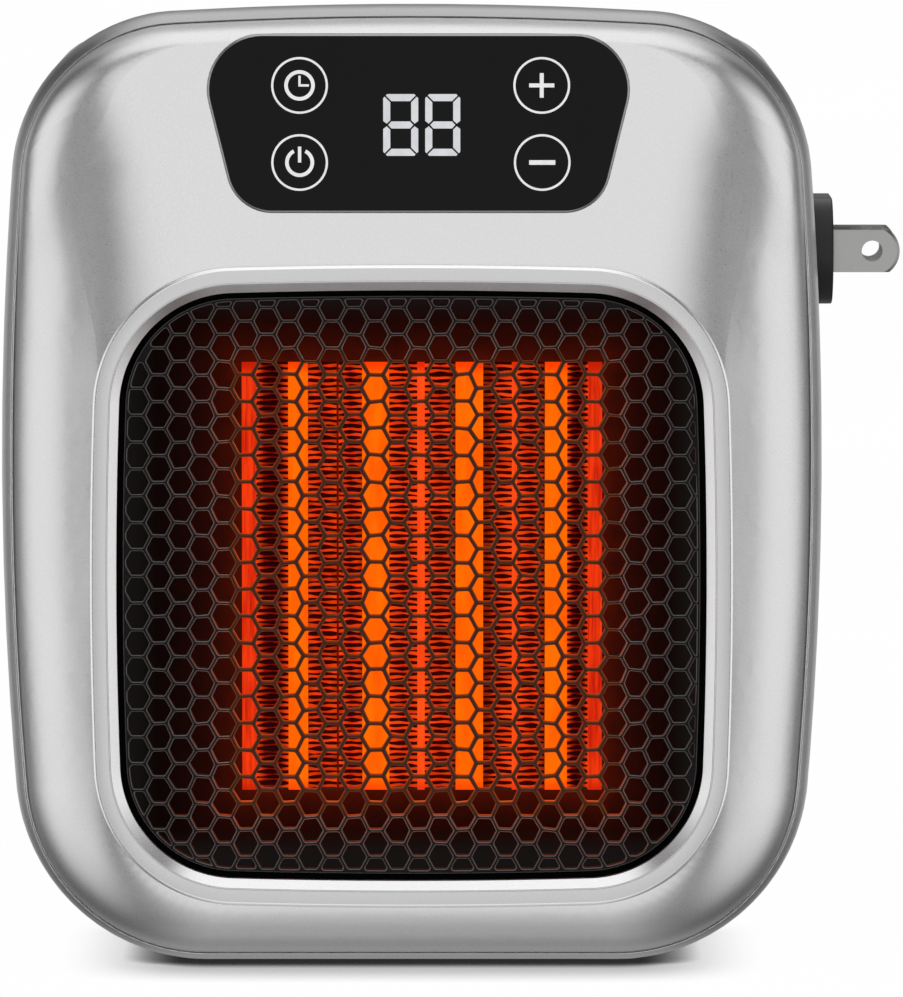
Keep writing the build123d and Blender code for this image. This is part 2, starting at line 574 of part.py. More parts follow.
chamber = chamber + (plate(-7.5, -6.0) - box(TUN[0], TUN[1], -9.0, -5.0, TUN[2], TUN[3]))
SHROUD_HOLES = [(sx * 36.5, OPEN_Z + sz * 36.5) for sx in (1, -1) for sz in (1, -1)]
for hx, hz in SHROUD_HOLES:
    chamber = chamber + rod_y(2.6, -13.0, -7.5, hx, hz)
    chamber = chamber - rod_y(1.05, -12.4, -5.0, hx, hz)
for ex, ez in CHAMBER_EARS:
    zi = OPEN_Z + (OPEN_B + 1.0) * (1 if ez > OPEN_Z else -1)
    ear = rod_y(2.8, -31.0, -29.0, ex, ez) + box(ex - 2.8, ex + 2.8, -31.0, -29.0, min(ez, zi), max(ez, zi))
    chamber = chamber + ear
    chamber = chamber - rod_y(1.3, -32.0, -28.0, ex, ez)
TERM_X = [-17.0, 8.6, 21.5]
for x in TERM_X:
    chamber = chamber - box(x - 0.9, x + 0.9, -17.8, -10.4, TUN[3] - 1, TUN[3] + 4)
chamber = chamber - prism_y(square_wire(CH_Y0 - 1, CH_IN), CH_Y0 - 1, -21.9)
save("heater_chamber", chamber)
save("chamber_screws", *[screw_y(x, z, -29.0, 2.2, 1.4, 1.0, 7.0) for x, z in CHAMBER_EARS])

# ----------------------------------------------------------------- heater stack
STACK_Z0, STACK_Z1 = WIN_Z0 + 0.1, WIN_Z1 - 0.1
side = [box(PTC_X0, -23.2, PTC_Y0, PTC_Y1, STACK_Z0, STACK_Z1), box(26.2, PTC_X1, PTC_Y0, PTC_Y1, STACK_Z0, STACK_Z1)]
save("ptc_side_plates", *side)
BARS = [(-18.4, -15.5), (-7.4, -3.4), (6.5, 10.6), (19.8, 23.1)]
bars, stones = [], []
for x0, x1 in BARS:
    b = box(x0, x1, PTC_Y0, PTC_Y1, STACK_Z0, STACK_Z1)
    b = b - box(x0 + 0.5, x1 - 0.5, PTC_Y0 + 0.9, PTC_Y1 - 0.9, STACK_Z0 - 1, STACK_Z1 + 1)
    bars.append(b)
    for k in range(4):
        z = STACK_Z0 + 1.2 + 15.6 * k
        stones.append(box(x0 + 0.5, x1 - 0.5, PTC_Y0 + 1.1, PTC_Y1 - 1.1, z, z + 14.8))
save("ptc_heating_bars", *bars)
save("ptc_stones", *stones)
STRIPS = [(-11.2, -10.9), (0.8, 1.9), (14.9, 15.65)]
save("ptc_divider_strips", *[box(a, b, PTC_Y0, PTC_Y1, STACK_Z0, STACK_Z1) for a, b in STRIPS])

FINS = [(-23.2, -18.4), (-15.5, -11.2), (-10.9, -7.4), (-3.4, 0.8), (1.9, 6.5), (10.6, 14.9), (15.65, 19.8), (23.1, 26.2)]
FIN_P, FIN_T = 1.70, 0.16


def serpentine(x0, x1, z0, z1):
    """One corrugated strip: a folded sheet, each leaf across the row, joined in turn left and right."""
    n = int((z1 - z0) / FIN_P)
    h = (z1 - z0) / n / 2
    left, right = [], []
    lo, hi = [], []
    z = z0
    side_right = True
    # centre line of the sheet
    pts = [(x0 + FIN_T / 2, z0 + h / 2)]
    for i in range(2 * n):
        zc = z0 + h / 2 + i * h
        if i % 2 == 0:
            pts.append((x1 - FIN_T / 2, zc))
            if i < 2 * n - 1:
                pts.append((x1 - FIN_T / 2, zc + h))
        else:
            pts.append((x0 + FIN_T / 2, zc))
            if i < 2 * n - 1:
                pts.append((x0 + FIN_T / 2, zc + h))
    # drop repeated points
    cl = []
    for p in pts:
        if not cl or math.hypot(p[0] - cl[-1][0], p[1] - cl[-1][1]) > 1e-6:
            cl.append(p)
    k = FIN_T / 2
    m = len(cl)
    for i in range(m):
        p = cl[i]
        if i == 0:
            d = (cl[1][0] - p[0], cl[1][1] - p[1])
            L = math.hypot(*d)
            nrm = (-d[1] / L, d[0] / L)
            left.append((p[0] + nrm[0] * k, p[1] + nrm[1] * k))
            right.append((p[0] - nrm[0] * k, p[1] - nrm[1] * k))
        elif i == m - 1:
            d = (p[0] - cl[i - 1][0], p[1] - cl[i - 1][1])
            L = math.hypot(*d)
            nrm = (-d[1] / L, d[0] / L)
            left.append((p[0] + nrm[0] * k, p[1] + nrm[1] * k))
            right.append((p[0] - nrm[0] * k, p[1] - nrm[1] * k))
        else:
            a = (p[0] - cl[i - 1][0], p[1] - cl[i - 1][1])
            b = (cl[i + 1][0] - p[0], cl[i + 1][1] - p[1])
            la, lb = math.hypot(*a), math.hypot(*b)
            na, nb = (-a[1] / la, a[0] / la), (-b[1] / lb, b[0] / lb)
            left.append((p[0] + (na[0] + nb[0]) * k, p[1] + (na[1] + nb[1]) * k))
            right.append((p[0] - (na[0] + nb[0]) * k, p[1] - (na[1] + nb[1]) * k))
    return left + right[::-1]


fins = [poly_y(serpentine(a, b, STACK_Z0, STACK_Z1), PTC_Y0 + 0.25, PTC_Y1 - 0.25) for a, b in FINS]
save("ptc_fins", *fins)

caps = []
for z0, z1, lz0, lz1 in ((TUN[2], STACK_Z0, STACK_Z0, STACK_Z0 + 3.0), (STACK_Z1, TUN[3], STACK_Z1 - 3.0, STACK_Z1)):
    c = box(TUN[0] + 0.05, TUN[1] - 0.05, -20.3, -6.4, z0, z1) + box(TUN[0] + 0.05, TUN[1] - 0.05, PTC_Y1, -6.4, lz0, lz1)
    caps.append(c)
for x in TERM_X:
    caps[1] = caps[1] - box(x - 0.6, x + 0.6, -17.4, -10.8, STACK_Z1 - 1, TUN[3] + 1)
save("ptc_end_caps", *caps)
terms = []
for x in TERM_X:
    tpiece = box(x - 0.4, x + 0.4, -17.2, -11.0, STACK_Z1, 99.5) - rod_x(0.9, x - 1, x + 1, -14.1, 97.4)
    terms.append(tpiece)
save("ptc_terminals", *terms)

thermo = rod_z(6.2, 94.4, 96.6, -4.5, -13.9) + rod_z(5.9, 96.6, 101.6, -4.5, -13.9)
thermo = thermo + box(-7.6, -7.1, -15.9, -11.9, 101.6, 105.6) + box(-1.9, -1.4, -15.9, -11.9, 101.6, 105.6)
save("thermostat", thermo)
tf = rod_x(1.5, 12.0, 18.5, -13.9, 96.0) + rod_x(0.4, 10.0, 12.0, -13.9, 96.0) + rod_x(0.4, 18.5, 20.3, -13.9, 96.0)
save("thermal_fuse", tf)

# ----------------------------------------------------------------- fan shroud and motor
SH_IN, SH_OUT = 37.5, 39.2
shroud = plate(-6.0, -4.5) + rod_y(SH_OUT, -4.5, 13.0, 0, FAN_Z)
shroud = shroud - rod_y(SH_IN, -7.0, 14.0, 0, FAN_Z)
cup = rod_y(15.8, 8.4, 17.0, 0, FAN_Z)
arms = None
for k in range(3):
    a = Pos(0, 10.9, FAN_Z) * Rot(0, 120 * k + 90, 0) * Pos(26.8, 0, 0) * Box(23.6, 4.2, 3.6)
    arms = a if arms is None else arms + a
shroud = shroud + cup + arms
shroud = shroud - rod_y(13.85, 10.0, 18.0, 0, FAN_Z) - rod_y(4.5, 7.0, 11.0, 0, FAN_Z)
for hx, hz in SHROUD_HOLES:
    shroud = shroud - rod_y(1.3, -7.0, -3.0, hx, hz)
save("fan_shroud", shroud)
save("shroud_screws", *[screw_y(x, z, -4.5, 2.2, 1.4, 1.0, 7.0) for x, z in SHROUD_HOLES])

can = rod_y(13.8, 10.0, 29.0, 0, FAN_Z) - rod_y(13.0, 10.9, 30.0, 0, FAN_Z) - rod_y(3.0, 9.0, 12.0, 0, FAN_Z)
save("motor_can", can)
bell = rod_y(13.8, 29.0, 30.6, 0, FAN_Z) + rod_y(5.2, 30.6, 33.0, 0, FAN_Z)
bell = bell - rod_y(3.0, 28.0, 34.0, 0, FAN_Z)
save("motor_end_bell", bell)
save("motor_bearings", *[rod_y(3.0, a, b, 0, FAN_Z) - rod_y(SHAFT_R + 0.04, a - 1, b + 1, 0, FAN_Z)
                         for a, b in ((10.0, 13.2), (29.6, 32.6))])
mags = []
full = rod_y(13.0, 14.2, 26.4, 0, FAN_Z) - rod_y(11.2, 13, 28, 0, FAN_Z)
wedge = box(-20, 20, 12, 30, FAN_Z - 3.2, FAN_Z + 3.2)
for m in solids_of(full - wedge):
    mags.append(m)
save("motor_magnets", *mags)

shaft = rod_y(SHAFT_R, -2.6, 33.4, 0, FAN_Z)
save("motor_shaft", shaft)
core = rod_y(10.7, 15.4, 25.0, 0, FAN_Z)
for k in range(3):
    core = core - Pos(0, 20.2, FAN_Z) * Rot(0, 120 * k + 30, 0) * Pos(10.6, 0, 0) * Box(11.4, 12, 1.8)
    core = core - Pos(0, 20.2, FAN_Z) * Rot(0, 120 * k + 30, 0) * Pos(6.3, 0, 0) * Box(4.2, 12, 7.2)
core = core - rod_y(SHAFT_R, 14, 27, 0, FAN_Z)
save("motor_armature", core)
wind = []
for k in range(3):
    w = Pos(0, 20.2, FAN_Z) * Rot(0, 120 * k + 30, 0) * Pos(6.5, 0, 0) * Box(3.2, 9.2, 6.2)
    wind.append(w)
save("motor_windings", *wind)
com = rod_y(3.4, 26.2, 28.6, 0, FAN_Z) - rod_y(SHAFT_R, 25, 30, 0, FAN_Z)
save("motor_commutator", com)
br = []
for s in (1, -1):
    b = box(s * 3.75, s * 6.4, 26.6, 28.2, FAN_Z - 1.0, FAN_Z + 1.0) + box(s * 6.0, s * 6.5, 26.6, 29.0, FAN_Z - 1.4, FAN_Z + 1.4)
    br.append(b)
save("motor_brushes", *br)

# impeller: hub and seven pitched blades
hub = rod_y(12.0, -2.4, 6.6, 0, FAN_Z)
hub = hub.fillet(1.6, [e for e in hub.edges() if abs(e.center().Y + 2.4) < 1e-3 and e.length > 20])
hub = hub - rod_y(10.4, -0.6, 7.5, 0, FAN_Z)
hub = hub + rod_y(3.4, -1.0, 6.2, 0, FAN_Z)
imp = hub
for k in range(7):
    inner = Wire.make_polygon([pt(*q) for q in ((11.2, -1.6, 4.6), (11.2, -0.6, 5.0), (11.2, 5.6, -4.6), (11.2, 4.6, -5.0))])
    outer = Wire.make_polygon([pt(*q) for q in ((35.0, -0.2, 11.0), (35.0, 0.9, 11.3), (35.0, 5.0, -10.6), (35.0, 3.9, -10.9))])
    bl = Solid.make_loft([inner, outer], ruled=True)
    bl = Pos(0, 0, FAN_Z) * Rot(0, k * 360 / 7, 0) * bl
    imp = imp + bl
imp = imp & rod_y(FAN_R, -3, 8, 0, FAN_Z)
imp = imp - rod_y(SHAFT_R, -1.9, 9, 0, FAN_Z) - rod_y(SHAFT_R, -3, 0, 0, FAN_Z)
save("fan_impeller", imp)

# ----------------------------------------------------------------- power board
pb = box(-40, 40, 28.0, 29.6, 106.0, 136.0)
for bx, bz in PB_POSTS:
    pb = pb - rod_y(1.3, 27, 31, bx, bz)
save("power_board", pb)
pbs = []
for bx, bz in PB_POSTS:
    sc = rod_y(2.2, 26.6, 28.0, bx, bz) + rod_y(1.0, 28.0, 35.0, bx, bz)
    sc = sc - box(bx - 1.3, bx + 1.3, 26.0, 27.2, bz - 0.28, bz + 0.28) - box(bx - 0.28, bx + 0.28, 26.0, 27.2, bz - 1.3, bz + 1.3)
    pbs.append(sc)
save("power_board_screws", *pbs)
rel = [box(-31.5, -13.5, 13.0, 28.0, 107.2, 122.6), box(-12.0, 6.0, 13.0, 28.0, 107.2, 122.6)]
save("relays", *rel)
save("transformer", box(10.0, 22.0, 15.5, 28.0, 119.0, 132.0) + box(8.6, 23.4, 18.0, 25.5, 120.5, 130.5))
save("capacitors", box(9.5, 22.5, 15.0, 28.0, 108.0, 115.5), rod_y(5.0, 15.0, 28.0, -2.0, 129.6), rod_y(4.0, 17.5, 28.0, -13.0, 129.8))
fz = 130.0
fuse = rod_x(2.3, -30.5, -20.5, 22.8, fz)
caps_f = rod_x(2.6, -32.5, -28.0, 22.8, fz) + rod_x(2.6, -23.0, -18.5, 22.8, fz)
clips = box(-31.8, -29.0, 22.8, 28.0, fz - 1.6, fz + 1.6) + box(-22.0, -19.2, 22.8, 28.0, fz - 1.6, fz + 1.6)
save("fuse", fuse + caps_f + clips)
tb = box(25.5, 34.5, 16.5, 28.0, 113.5, 129.5)
for k in range(3):
    tb = tb - rod_x(1.5, 32.0, 36.0, 20.5, 116.5 + 5.0 * k)
save("terminal_block", tb)

# ----------------------------------------------------------------- swivel plug
disc = rod_x(14.0, 52.35, 59.0, PLUG_Y, PLUG_Z)
blk = Pos((58.5 + PLUG_FACE) / 2, PLUG_Y, PLUG_Z) * Rot(0, 90, 0) * Pos(0, 0, -(PLUG_FACE - 58.5) / 2) * extrude(SlotOverall(26.0, 16.1, rotation=90), PLUG_FACE - 58.5)
blk_edges = [e for e in blk.edges() if abs((e @ 0).X - PLUG_FACE) < 1e-4 and abs((e @ 1).X - PLUG_FACE) < 1e-4]
blk = blk.fillet(0.3, blk_edges)
turn = disc + blk + rod_x(HUB_R, 44.0, 52.4, PLUG_Y, PLUG_Z)
turn = turn - (rod_x(HUB_R + 1, 48.4, 49.6, PLUG_Y, PLUG_Z) - rod_x(8.2, 48.0, 50.0, PLUG_Y, PLUG_Z))
blades = []
for s in (1, -1):
    yc = PLUG_Y + s * BLADE_PITCH / 2
    b = box(44.0, BLADE_TIP, yc - BLADE_T / 2, yc + BLADE_T / 2, PLUG_Z - BLADE_W / 2, PLUG_Z + BLADE_W / 2)
    turn = turn - b
    b = b & (rod_y(BLADE_R, yc - 2, yc + 2, BLADE_TIP - BLADE_R, PLUG_Z) + box(44.0, BLADE_TIP - BLADE_R, yc - 2, yc + 2, PLUG_Z - 5, PLUG_Z + 5))
    tip = [e for e in b.edges() if e.center().X > BLADE_TIP - 1.7 and abs((e @ 0).Y - (e @ 1).Y) < 1e-4 and abs((e @ 0).Z - (e @ 1).Z) > 4.0]
    try:
        b = b.chamfer(0.45, None, tip)
    except Exception as err:
        print("blade bevel left out", err)
    b = b - rod_y(BLADE_HOLE_R, yc - 2, yc + 2, BLADE_HOLE_X, PLUG_Z)
    blades.append(b)
save("plug_turntable", turn)
save("plug_blades", *blades)
ret = rod_x(11.2, 48.5, 49.5, PLUG_Y, PLUG_Z) - rod_x(8.25, 48.0, 50.0, PLUG_Y, PLUG_Z)
ret = ret - box(48, 50, PLUG_Y - 3.4, PLUG_Y + 3.4, PLUG_Z - 14, PLUG_Z)
save("plug_retainer", ret)
cring = rod_x(8.6, 43.2, 44.0, PLUG_Y, PLUG_Z) - rod_x(5.3, 42.0, 45.0, PLUG_Y, PLUG_Z)
gap = Pos(43.6, PLUG_Y, PLUG_Z) * Rot(45, 0, 0) * Box(4, 9, 9)
cut1 = Pos(43.6, PLUG_Y - 8.0, PLUG_Z) * Box(4, 8.4, 9.4)
cring = cring - cut1
cmid = rod_x(2.8, 43.2, 44.0, PLUG_Y, PLUG_Z) + box(43.2, 44.0, PLUG_Y - 7.1, PLUG_Y, PLUG_Z - 1.4, PLUG_Z + 1.4)
save("plug_contact_plates", cring, cmid)

# fixed side of the plug: contact carrier with two wipers
car = rod_x(13.5, 38.0, 50.0, PLUG_Y, PLUG_Z) - rod_x(11.8, 40.4, 51.0, PLUG_Y, PLUG_Z)
for ey, ez in CARRIER_EARS:
    car = car + rod_x(2.8, 46.0, 50.0, ey, ez)
    car = car + box(46.0, 50.0, min(ey, PLUG_Y + (14 if ey > PLUG_Y else -14)), max(ey, PLUG_Y + (14 if ey > PLUG_Y else -14)), ez - 2.8, ez + 2.8)
    car = car - rod_x(1.3, 45.0, 51.0, ey, ez)
car = car - rod_x(11.8, 40.4, 51.0, PLUG_Y, PLUG_Z)
wip = []
for wy, wz in ((PLUG_Y + 6.95, PLUG_Z), (PLUG_Y, PLUG_Z)):
    hole = box(36, 42, wy - 1.0, wy + 1.0, wz - 1.0, wz + 1.0)
    car = car - hole
    wip.append(box(36.0, 42.9, wy - 1.0, wy + 1.0, wz - 1.0, wz + 1.0))
save("contact_carrier", car)
save("contact_wipers", *wip)
cs = []
for ey, ez in CARRIER_EARS:
    s = rod_x(2.2, 44.6, 46.0, ey, ez) + rod_x(1.0, 46.0, 54.0, ey, ez)
    s = s - box(44.0, 45.2, ey - 1.3, ey + 1.3, ez - 0.28, ez + 0.28) - box(44.0, 45.2, ey - 0.28, ey + 0.28, ez - 1.3, ez + 1.3)
    cs.append(s)
save("carrier_screws", *cs)
save("case_screws", *[screw_y(x, z, 22.0, 2.75, 2.4, 1.5, 30.0) for x, z in CASE_BOSS])

# ----------------------------------------------------------------- leads inside the housing
LEAD = 1.0
leads = [
    wire_tube([(36.0, PLUG_Y, PLUG_Z), (31.0, PLUG_Y, PLUG_Z), (29.5, 8.5, 116.5), (29.5, 16.5, 116.5)], LEAD, 2.0),
    wire_tube([(36.0, PLUG_Y + 6.95, PLUG_Z), (33.2, PLUG_Y + 6.95, PLUG_Z), (32.5, 12.3, 121.5), (32.5, 16.5, 121.5)], LEAD, 1.4),
]
save("supply_leads", *leads)
hl = [
    wire_tube([(TERM_X[0], -14.1, 99.5), (TERM_X[0], -14.1, 103.6), (TERM_X[0] - 2, 4.0, 104.4), (TERM_X[0] - 3, 26.0, 104.6)], 0.9, 2.2),
    wire_tube([(TERM_X[1], -14.1, 99.5), (TERM_X[1], -14.1, 103.2), (6.0, 4.0, 104.4), (3.0, 26.0, 104.6)], 0.9, 2.2),
    wire_tube([(TERM_X[2], -14.1, 99.5), (TERM_X[2], -14.1, 103.2), (19.0, 4.0, 103.6), (16.0, 26.0, 104.6)], 0.9, 2.2),
]
save("heater_leads", *hl)
ml = [
    wire_tube([(s * 8.5, 30.6, FAN_Z + 7.5), (s * 8.5, 32.6, FAN_Z + 7.5), (s * 9.0, 33.4, FAN_Z + 24.0), (s * 9.0, 33.4, 108.5), (s * 9.0, 29.6, 108.5)], 0.7, 1.2)
    for s in (1, -1)
]
save("motor_leads", *ml)
rib = Wire.make_polygon([pt(-22.0, y, z) for y, z in ((-29.9, 131.6), (-27.0, 131.6), (-25.4, 134.0), (10.0, 135.0), (26.0, 134.2), (28.0, 134.2),
                                                     (28.0, 133.6), (26.1, 133.6), (10.0, 134.4), (-25.0, 133.4), (-26.6, 131.0), (-29.9, 131.0))], close=True)
ribbon = Solid.extrude(Face(rib), pt(7.0, 0, 0))
save("panel_ribbon", ribbon)
print("done")
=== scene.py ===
import json
import math

import bpy
import numpy as np
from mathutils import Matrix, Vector, geometry

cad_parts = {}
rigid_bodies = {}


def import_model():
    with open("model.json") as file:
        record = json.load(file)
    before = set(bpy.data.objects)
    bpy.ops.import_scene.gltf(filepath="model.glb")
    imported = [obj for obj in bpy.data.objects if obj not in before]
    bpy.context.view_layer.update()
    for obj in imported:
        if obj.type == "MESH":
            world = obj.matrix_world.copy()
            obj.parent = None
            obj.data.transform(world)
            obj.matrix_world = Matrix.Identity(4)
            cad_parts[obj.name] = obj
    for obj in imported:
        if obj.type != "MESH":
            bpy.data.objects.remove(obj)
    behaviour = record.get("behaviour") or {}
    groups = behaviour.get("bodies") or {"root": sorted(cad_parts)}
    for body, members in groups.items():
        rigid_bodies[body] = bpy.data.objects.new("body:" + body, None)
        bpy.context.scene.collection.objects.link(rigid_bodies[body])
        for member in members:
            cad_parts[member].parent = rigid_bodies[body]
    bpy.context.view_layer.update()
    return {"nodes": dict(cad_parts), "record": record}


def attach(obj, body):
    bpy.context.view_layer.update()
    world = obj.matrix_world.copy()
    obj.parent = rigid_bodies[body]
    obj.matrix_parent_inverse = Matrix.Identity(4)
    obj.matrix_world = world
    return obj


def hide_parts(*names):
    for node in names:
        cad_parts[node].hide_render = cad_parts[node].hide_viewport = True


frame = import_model()
nodes = frame["nodes"]
MM = 0.001


# ------------------------------------------------------------------ node helpers
class Tree:
    """A material's node tree, with short calls."""

    def __init__(self, name):
        self.mat = bpy.data.materials.new(name)
        self.mat.use_nodes = True
        self.t = self.mat.node_tree
        self.t.nodes.clear()
        self.out = self.t.nodes.new("ShaderNodeOutputMaterial")
        self.bsdf = self.t.nodes.new("ShaderNodeBsdfPrincipled")
        self.t.links.new(self.bsdf.outputs[0], self.out.inputs["Surface"])
        self.coord = self.t.nodes.new("ShaderNodeTexCoord")

    def link(self, a, b):
        self.t.links.new(a, b)

    def put(self, node, key, val):
        if isinstance(val, bpy.types.NodeSocket):
            self.link(val, node.inputs[key])
        else:
            node.inputs[key].default_value = val

    def mapping(self, scale=(1, 1, 1), loc=(0, 0, 0), rot=(0, 0, 0)):
        m = self.t.nodes.new("ShaderNodeMapping")
        self.link(self.coord.outputs["Object"], m.inputs["Vector"])
        m.inputs["Scale"].default_value = scale
        m.inputs["Location"].default_value = loc
        m.inputs["Rotation"].default_value = rot
        return m.outputs[0]

    def noise(self, scale, detail=2.0, rough=0.5, vec=None, dist=0.0):
        n = self.t.nodes.new("ShaderNodeTexNoise")
        self.link(vec if vec is not None else self.coord.outputs["Object"], n.inputs["Vector"])
        n.inputs["Scale"].default_value = scale
        n.inputs["Detail"].default_value = detail
        n.inputs["Roughness"].default_value = rough
        n.inputs["Distortion"].default_value = dist
        return n.outputs["Fac"]

    def voronoi(self, scale, vec=None, feature="F1"):
        n = self.t.nodes.new("ShaderNodeTexVoronoi")
        n.feature = feature
        self.link(vec if vec is not None else self.coord.outputs["Object"], n.inputs["Vector"])
        n.inputs["Scale"].default_value = scale
        return n.outputs["Distance"]

    def math(self, op, a, b=0.0, c=0.0, clamp=False):
        n = self.t.nodes.new("ShaderNodeMath")
        n.operation = op
        n.use_clamp = clamp
        for i, v in enumerate((a, b, c)):
            self.put(n, i, v)
        return n.outputs[0]

    def range(self, v, a, b, c, d, smooth=False):
        n = self.t.nodes.new("ShaderNodeMapRange")
        n.interpolation_type = "SMOOTHSTEP" if smooth else "LINEAR"
        self.put(n, "Value", v)
        for k, x in (("From Min", a), ("From Max", b), ("To Min", c), ("To Max", d)):
            self.put(n, k, x)
        return n.outputs["Result"]

    def mix(self, f, a, b, mode="MIX"):
        n = self.t.nodes.new("ShaderNodeMix")
        n.data_type = "RGBA"
        n.blend_type = mode
        self.put(n, 0, f)
        self.put(n, 6, a if isinstance(a, bpy.types.NodeSocket) else (*a, 1.0))
        self.put(n, 7, b if isinstance(b, bpy.types.NodeSocket) else (*b, 1.0))
        return n.outputs[2]

    def axis(self, which, vec=None):
        n = self.t.nodes.new("ShaderNodeSeparateXYZ")
        self.link(vec if vec is not None else self.coord.outputs["Object"], n.inputs[0])
        return n.outputs[which]

    def attribute(self, name):
        n = self.t.nodes.new("ShaderNodeAttribute")
        n.attribute_name = name
        return n.outputs["Color"]

    def pointiness(self):
        n = self.t.nodes.new("ShaderNodeNewGeometry")
        return n.outputs["Pointiness"]

    def bump(self, height, strength=0.3, dist=0.0001, normal=None):
        n = self.t.nodes.new("ShaderNodeBump")
        n.inputs["Strength"].default_value = strength
        n.inputs["Distance"].default_value = dist
        self.link(height, n.inputs["Height"])
        if normal is not None:
            self.link(normal, n.inputs["Normal"])
        return n.outputs[0]

    def set(self, **kw):
        names = {"color": "Base Color", "metallic": "Metallic", "rough": "Roughness", "normal": "Normal",
                 "spec": "Specular IOR Level", "ior": "IOR", "coat": "Coat Weight", "coat_rough": "Coat Roughness",
                 "emit": "Emission Color", "emit_power": "Emission Strength", "sheen": "Sheen Weight",
                 "aniso": "Anisotropic"}
        for k, v in kw.items():
            s = self.bsdf.inputs[names[k]]
            if isinstance(v, bpy.types.NodeSocket):
                self.link(v, s)
            elif s.type == "RGBA" and len(v) == 3:
                s.default_value = (*v, 1.0)
            else:
                s.default_value = v
        return self.mat


def plastic(name, color, rough=0.5, grain=900.0, depth=0.00004, strength=0.35, vary=0.18, spec=0.5, coat=0.0):
    """Moulded plastic: a fine erosion grain, broad patches of slightly different gloss, worn paler edges."""
    m = Tree(name)
    fine = m.noise(grain * 4, 3.0, 0.6)
    broad = m.noise(60.0, 3.0, 0.55)
    edge = m.range(m.pointiness(), 0.5, 0.62, 0.0, 0.35)
    dark = tuple(c * (1 - vary) for c in color)
    lite = tuple(min(1.0, c * (1 + vary) + 0.004) for c in color)
    col = m.mix(broad, dark, lite)
    col = m.mix(m.range(fine, 0.35, 0.65, 0.0, 0.25), col, lite)
    col = m.mix(edge, col, tuple(min(1.0, c * 1.5 + 0.02) for c in color))
    r = m.range(m.math("ADD", m.math("MULTIPLY", broad, 0.6), m.math("MULTIPLY", fine, 0.4)), 0.3, 0.7, rough - 0.07, rough + 0.08)
    return m.set(color=col, rough=r, normal=m.bump(fine, strength, depth), spec=spec, coat=coat, coat_rough=0.2)


def metal(name, color, rough=0.3, scratch=(1.0, 1.0, 1.0), vary=0.1, grain=1400.0, strength=0.2, depth=0.00002):
    """Plated or drawn metal: fine directional marks, tarnish in patches."""
    m = Tree(name)
    vec = m.mapping(scratch)
    fine = m.noise(grain, 4.0, 0.65, vec)
    broad = m.noise(90.0, 3.0, 0.5)
    col = m.mix(broad, tuple(c * (1 - vary) for c in color), color)
    col = m.mix(m.range(fine, 0.3, 0.7, 0.0, 0.3), col, tuple(min(1.0, c * 1.12) for c in color))
    r = m.range(m.math("ADD", m.math("MULTIPLY", broad, 0.5), m.math("MULTIPLY", fine, 0.5)), 0.3, 0.7, rough - 0.06, rough + 0.08)
    return m.set(color=col, metallic=1.0, rough=r, normal=m.bump(fine, strength, depth))


def paint(name, color, rough, grain=5600.0, contrast=0.08, depth=0.000012, bump=0.09, coat=0.1):
    """Silver paint: metallic flakes at the scale of a fifth of a millimetre under a satin coat."""
    m = Tree(name)
    flake = m.noise(grain, 2.0, 0.65)
    cell = m.noise(grain * 0.45, 1.0, 0.5)
    cloud = m.noise(14.0, 2.0, 0.5)
    mixed = m.math("ADD", m.math("MULTIPLY", flake, 0.82), m.math("MULTIPLY", cell, 0.18))
    lo = tuple(c * (1 - contrast) for c in color)
    hi = tuple(min(1.0, c * (1 + contrast * 0.8)) for c in color)
    col = m.mix(m.range(mixed, 0.34, 0.66, 0.0, 1.0), lo, hi)
    col = m.mix(m.range(cloud, 0.35, 0.65, 0.0, 0.12), col, lo)
    r = m.range(mixed, 0.3, 0.7, rough - 0.05, rough + 0.06)
    return m.set(color=col, metallic=0.9, rough=r, normal=m.bump(mixed, bump, depth), coat=coat, coat_rough=0.28)


def rim_paint_painted_shade(name, color, rough):
    """The rear half's silver, with painted shade: the narrow lip along the top darkened."""
    mat = paint(name, color, rough)
    m = Tree.__new__(Tree)
    m.mat, m.t = mat, mat.node_tree
    m.coord = m.t.nodes.new("ShaderNodeTexCoord")
    bsdf = next(n for n in m.t.nodes if n.type == "BSDF_PRINCIPLED")
    col = bsdf.inputs["Base Color"].links[0].from_socket
    z, y = m.axis("Z"), m.axis("Y")
    # painted shade: towards the top and the front of the lip, the silver is mixed up to half way towards near black
    f = m.math("MULTIPLY", m.range(z, 0.118, 0.136, 0.0, 0.5, True), m.range(y, -0.0215, -0.0195, 1.0, 0.0))
    m.link(m.mix(f, col, tuple(c * 0.12 for c in color)), bsdf.inputs["Base Color"])
    return mat


def board(name):
    m = Tree(name)
    vec = m.mapping((1.0, 1.0, 1.0))
    tracks = m.t.nodes.new("ShaderNodeTexBrick")
    m.link(vec, tracks.inputs["Vector"])
    tracks.inputs["Scale"].default_value = 160.0
    tracks.inputs["Mortar Size"].default_value = 0.05
    tracks.inputs["Color1"].default_value = (0.02, 0.16, 0.07, 1)
    tracks.inputs["Color2"].default_value = (0.018, 0.13, 0.06, 1)
    tracks.inputs["Mortar"].default_value = (0.05, 0.27, 0.12, 1)
    n = m.noise(500.0, 2.0)
    return m.set(color=tracks.outputs[0], rough=m.range(n, 0.3, 0.7, 0.3, 0.42), normal=m.bump(n, 0.1, 0.00003), coat=0.3, coat_rough=0.2)


